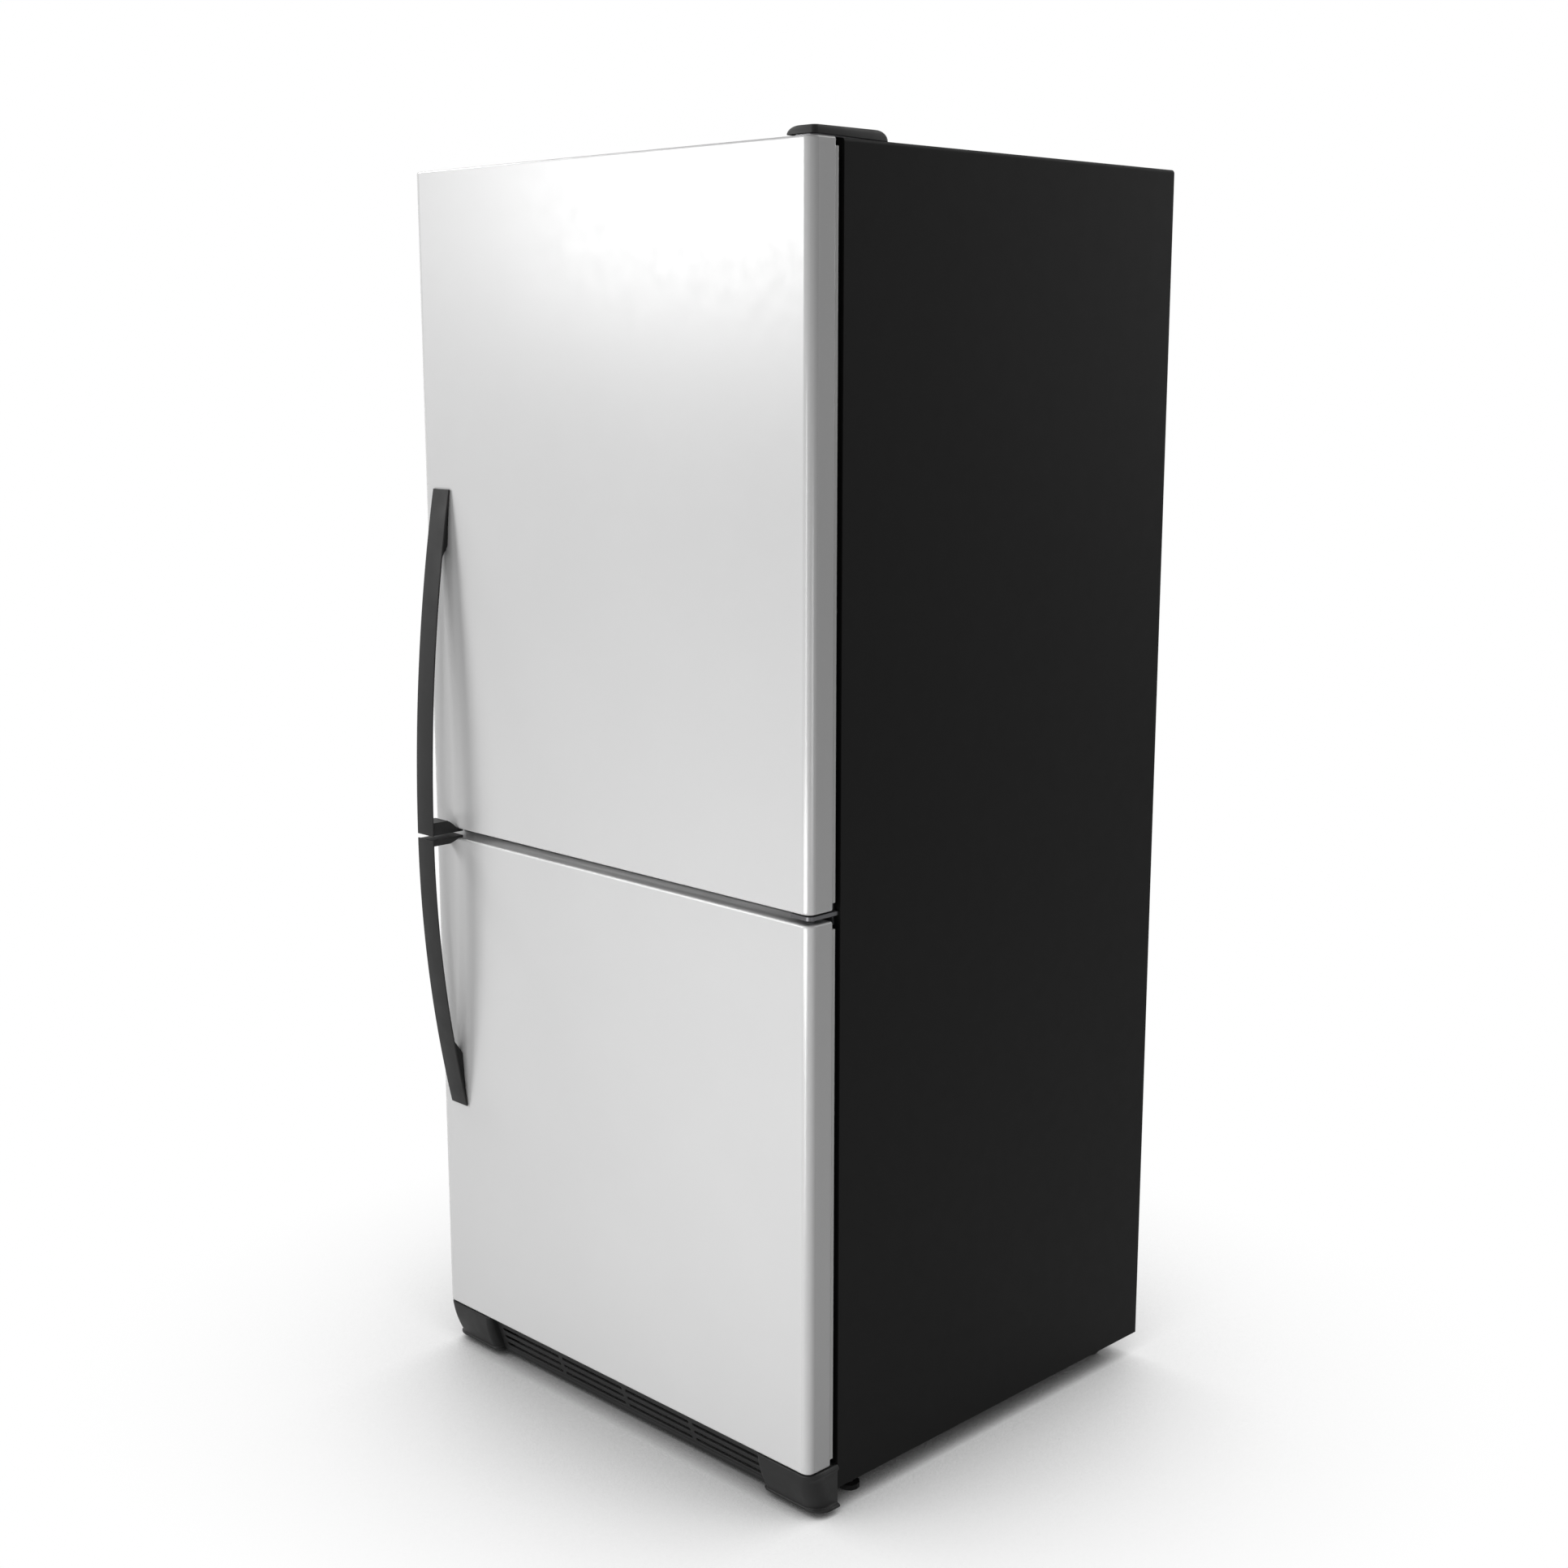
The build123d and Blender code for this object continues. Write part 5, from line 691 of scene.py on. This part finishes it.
def screw(across, up):
    """Pan head: a dome of height h (1 - u^4), with a cross pressed in by a flat bell curve."""
    share = np.concatenate([np.linspace(0, 1, SCREW_RINGS), [1, 0]])[:, None]
    turn = np.linspace(0, 2 * np.pi, SCREW_SPOKES, endpoint=False)[None, :]
    x, z = SCREW_RADIUS * share * np.cos(turn), SCREW_RADIUS * share * np.sin(turn)
    cross = CROSS_DEPTH * np.exp(-((np.minimum(np.abs(x), np.abs(z)) / CROSS_HALF) ** 4))
    cross = cross / (1 + (share / CROSS_REACH) ** CROSS_END)
    rise = SCREW_RISE * (1 - share**4) - cross
    rise[-2:] = -SCREW_SEAT
    return patch(np.stack([across + x, REAR_FACE + rise, up + z], -1), close_columns=True)


def rear_screws():
    """Screws in two columns and a row on the back panel, and at the machine cover's edges."""
    columns, ends, count = PANEL_SCREWS
    places = [(x, z) for x in columns for z in np.linspace(*ends, count)]
    places += [(x, ends[1]) for x in TOP_SCREWS]
    heads = [screw(x, z) for x, z in (*places, *COVER_SCREWS)]
    piece("rear_screws", heads, "cabinet", "hinge_steel")


def dial_marks(dial):
    """Strokes on rays round a dial, each a thin box, wider from the first to the last."""
    low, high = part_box(dial)
    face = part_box("control_housing")[0].y
    ray = np.radians(np.linspace(-MARK_SWEEP, MARK_SWEEP, MARK_COUNT))[:, None, None]
    reach = (high.x - low.x) / 2 + MARK_GAP + np.array([0, MARK_LENGTH])[:, None]
    half = np.linspace(*MARK_WIDTHS, MARK_COUNT)[:, None, None] / 2 * np.array([-1, 1, 1, -1])
    x = (low.x + high.x) / 2 + reach * np.sin(ray) + half * np.cos(ray)
    z = (low.z + high.z) / 2 + reach * np.cos(ray) - half * np.sin(ray)
    y = np.broadcast_to(face + MARK_RISE * np.array([-1, -1, 1, 1]), x.shape)
    boxes = np.stack([x, y, z], -1)
    patches = [patch(box, close_columns=True) for box in boxes]
    patches += [lid(ring) for box in boxes for ring in box]
    piece(f"{dial}_marks", patches, "cabinet", "black_plastic")


mouth_seam()
rear_screws()
dial_marks("fridge_dial")
dial_marks("freezer_dial")


# Studio: pale floor that fades into the white round it, soft lights and the camera


def seen_directly(tree):
    """1 for the camera's own rays and for what metal and glass show, 0 for light that spreads."""
    path = node(tree, "ShaderNodeLightPath")
    seen = path.outputs["Is Camera Ray"]
    for ray in ("Is Glossy Ray", "Is Transmission Ray"):
        most = node(tree, "ShaderNodeMath", operation="MAXIMUM")
        tree.links.new(seen, most.inputs[0])
        tree.links.new(path.outputs[ray], most.inputs[1])
        seen = most.outputs["Value"]
    return seen


def studio_floor():
    """Flat disc: rings of radius r round the object, white in the open and shaded near the object.

    The shade is the share of the sky that the object hides within reach.
    """
    rings = np.linspace(0, FLOOR_RADIUS, FLOOR_RINGS)[:, None]
    turn = np.linspace(0, 2 * np.pi, FLOOR_SPOKES, endpoint=False)[None, :]
    across, deep = rings * np.cos(turn), rings * np.sin(turn)
    points, cells = patch(np.stack([across, deep, np.zeros_like(across)], -1), close_columns=True)
    mesh = bpy.data.meshes.new("floor")
    mesh.from_pydata(points.tolist(), [], cells.tolist())
    floor = bpy.data.objects.new("floor", mesh)
    bpy.context.scene.collection.objects.link(floor)
    made = bpy.data.materials.new("pale_floor")
    made.use_nodes = True
    tree = made.node_tree
    tree.nodes.clear()
    out = node(tree, "ShaderNodeOutputMaterial")
    matt = node(tree, "ShaderNodeBsdfDiffuse", color=(FLOOR_BOUNCE, FLOOR_BOUNCE, FLOOR_BOUNCE, 1))
    sky = node(tree, "ShaderNodeAmbientOcclusion", samples=SHADE_SAMPLES, distance=SHADE_REACH)
    tone = node(tree, "ShaderNodeValToRGB")
    stops = tone.color_ramp.elements
    for _ in SHADE_TONES[2:]:
        stops.new(0.5)
    for stop, (share, level) in zip(stops, SHADE_TONES):
        stop.position = share
        stop.color = (level, level, level, 1)
    pale = node(tree, "ShaderNodeEmission")
    mix = node(tree, "ShaderNodeMixShader")
    tree.links.new(sky.outputs["AO"], tone.inputs["Fac"])
    tree.links.new(tone.outputs["Color"], pale.inputs["Color"])
    tree.links.new(seen_directly(tree), mix.inputs["Fac"])
    tree.links.new(matt.outputs["BSDF"], mix.inputs[1])
    tree.links.new(pale.outputs["Emission"], mix.inputs[2])
    tree.links.new(mix.outputs["Shader"], out.inputs["Surface"])
    mesh.materials.append(made)


def soft_light(name, place, target, size, power):
    """Rectangular soft light at a place, turned to a target."""
    lamp = bpy.data.lights.new(name, "AREA")
    lamp.shape = "RECTANGLE"
    lamp.size, lamp.size_y = size
    lamp.energy = power
    stand = bpy.data.objects.new(name, lamp)
    aim = np.array(target, float) - np.array(place, float)
    pan, tilt = np.arctan2(aim[0], -aim[1]), np.arctan2(np.hypot(aim[0], aim[1]), -aim[2])
    stand.location = place
    stand.rotation_euler = (tilt, 0, pan + np.pi)
    bpy.context.scene.collection.objects.link(stand)


def white_surround():
    """World: plain white to the camera, metal and glass, and a weaker even light for the rest."""
    world = bpy.data.worlds.new("white_surround")
    bpy.context.scene.world = world
    world.use_nodes = True
    tree = world.node_tree
    sky = tree.nodes["Background"]
    sky.inputs["Color"].default_value = (1, 1, 1, 1)
    level = node(tree, "ShaderNodeMapRange", to_min=AMBIENT, to_max=1.0)
    tree.links.new(seen_directly(tree), level.inputs["Value"])
    tree.links.new(level.outputs["Result"], sky.inputs["Strength"])


def camera():
    """Camera at the photograph's viewpoint: level horizon, turned to the left and a little down."""
    lens = bpy.data.cameras.new("photo_camera")
    lens.sensor_width = SENSOR
    lens.lens = FOCAL_PIXELS / IMAGE_SIZE * SENSOR
    stand = bpy.data.objects.new("photo_camera", lens)
    stand.location = CAMERA_PLACE
    stand.rotation_euler = (radians(90 - CAMERA_PITCH), 0, radians(CAMERA_YAW))
    bpy.context.scene.collection.objects.link(stand)
    bpy.context.scene.camera = stand


studio_floor()
white_surround()
for lamp in LAMPS:
    soft_light(*lamp)
camera()
bpy.context.scene.view_settings.view_transform = "Standard"
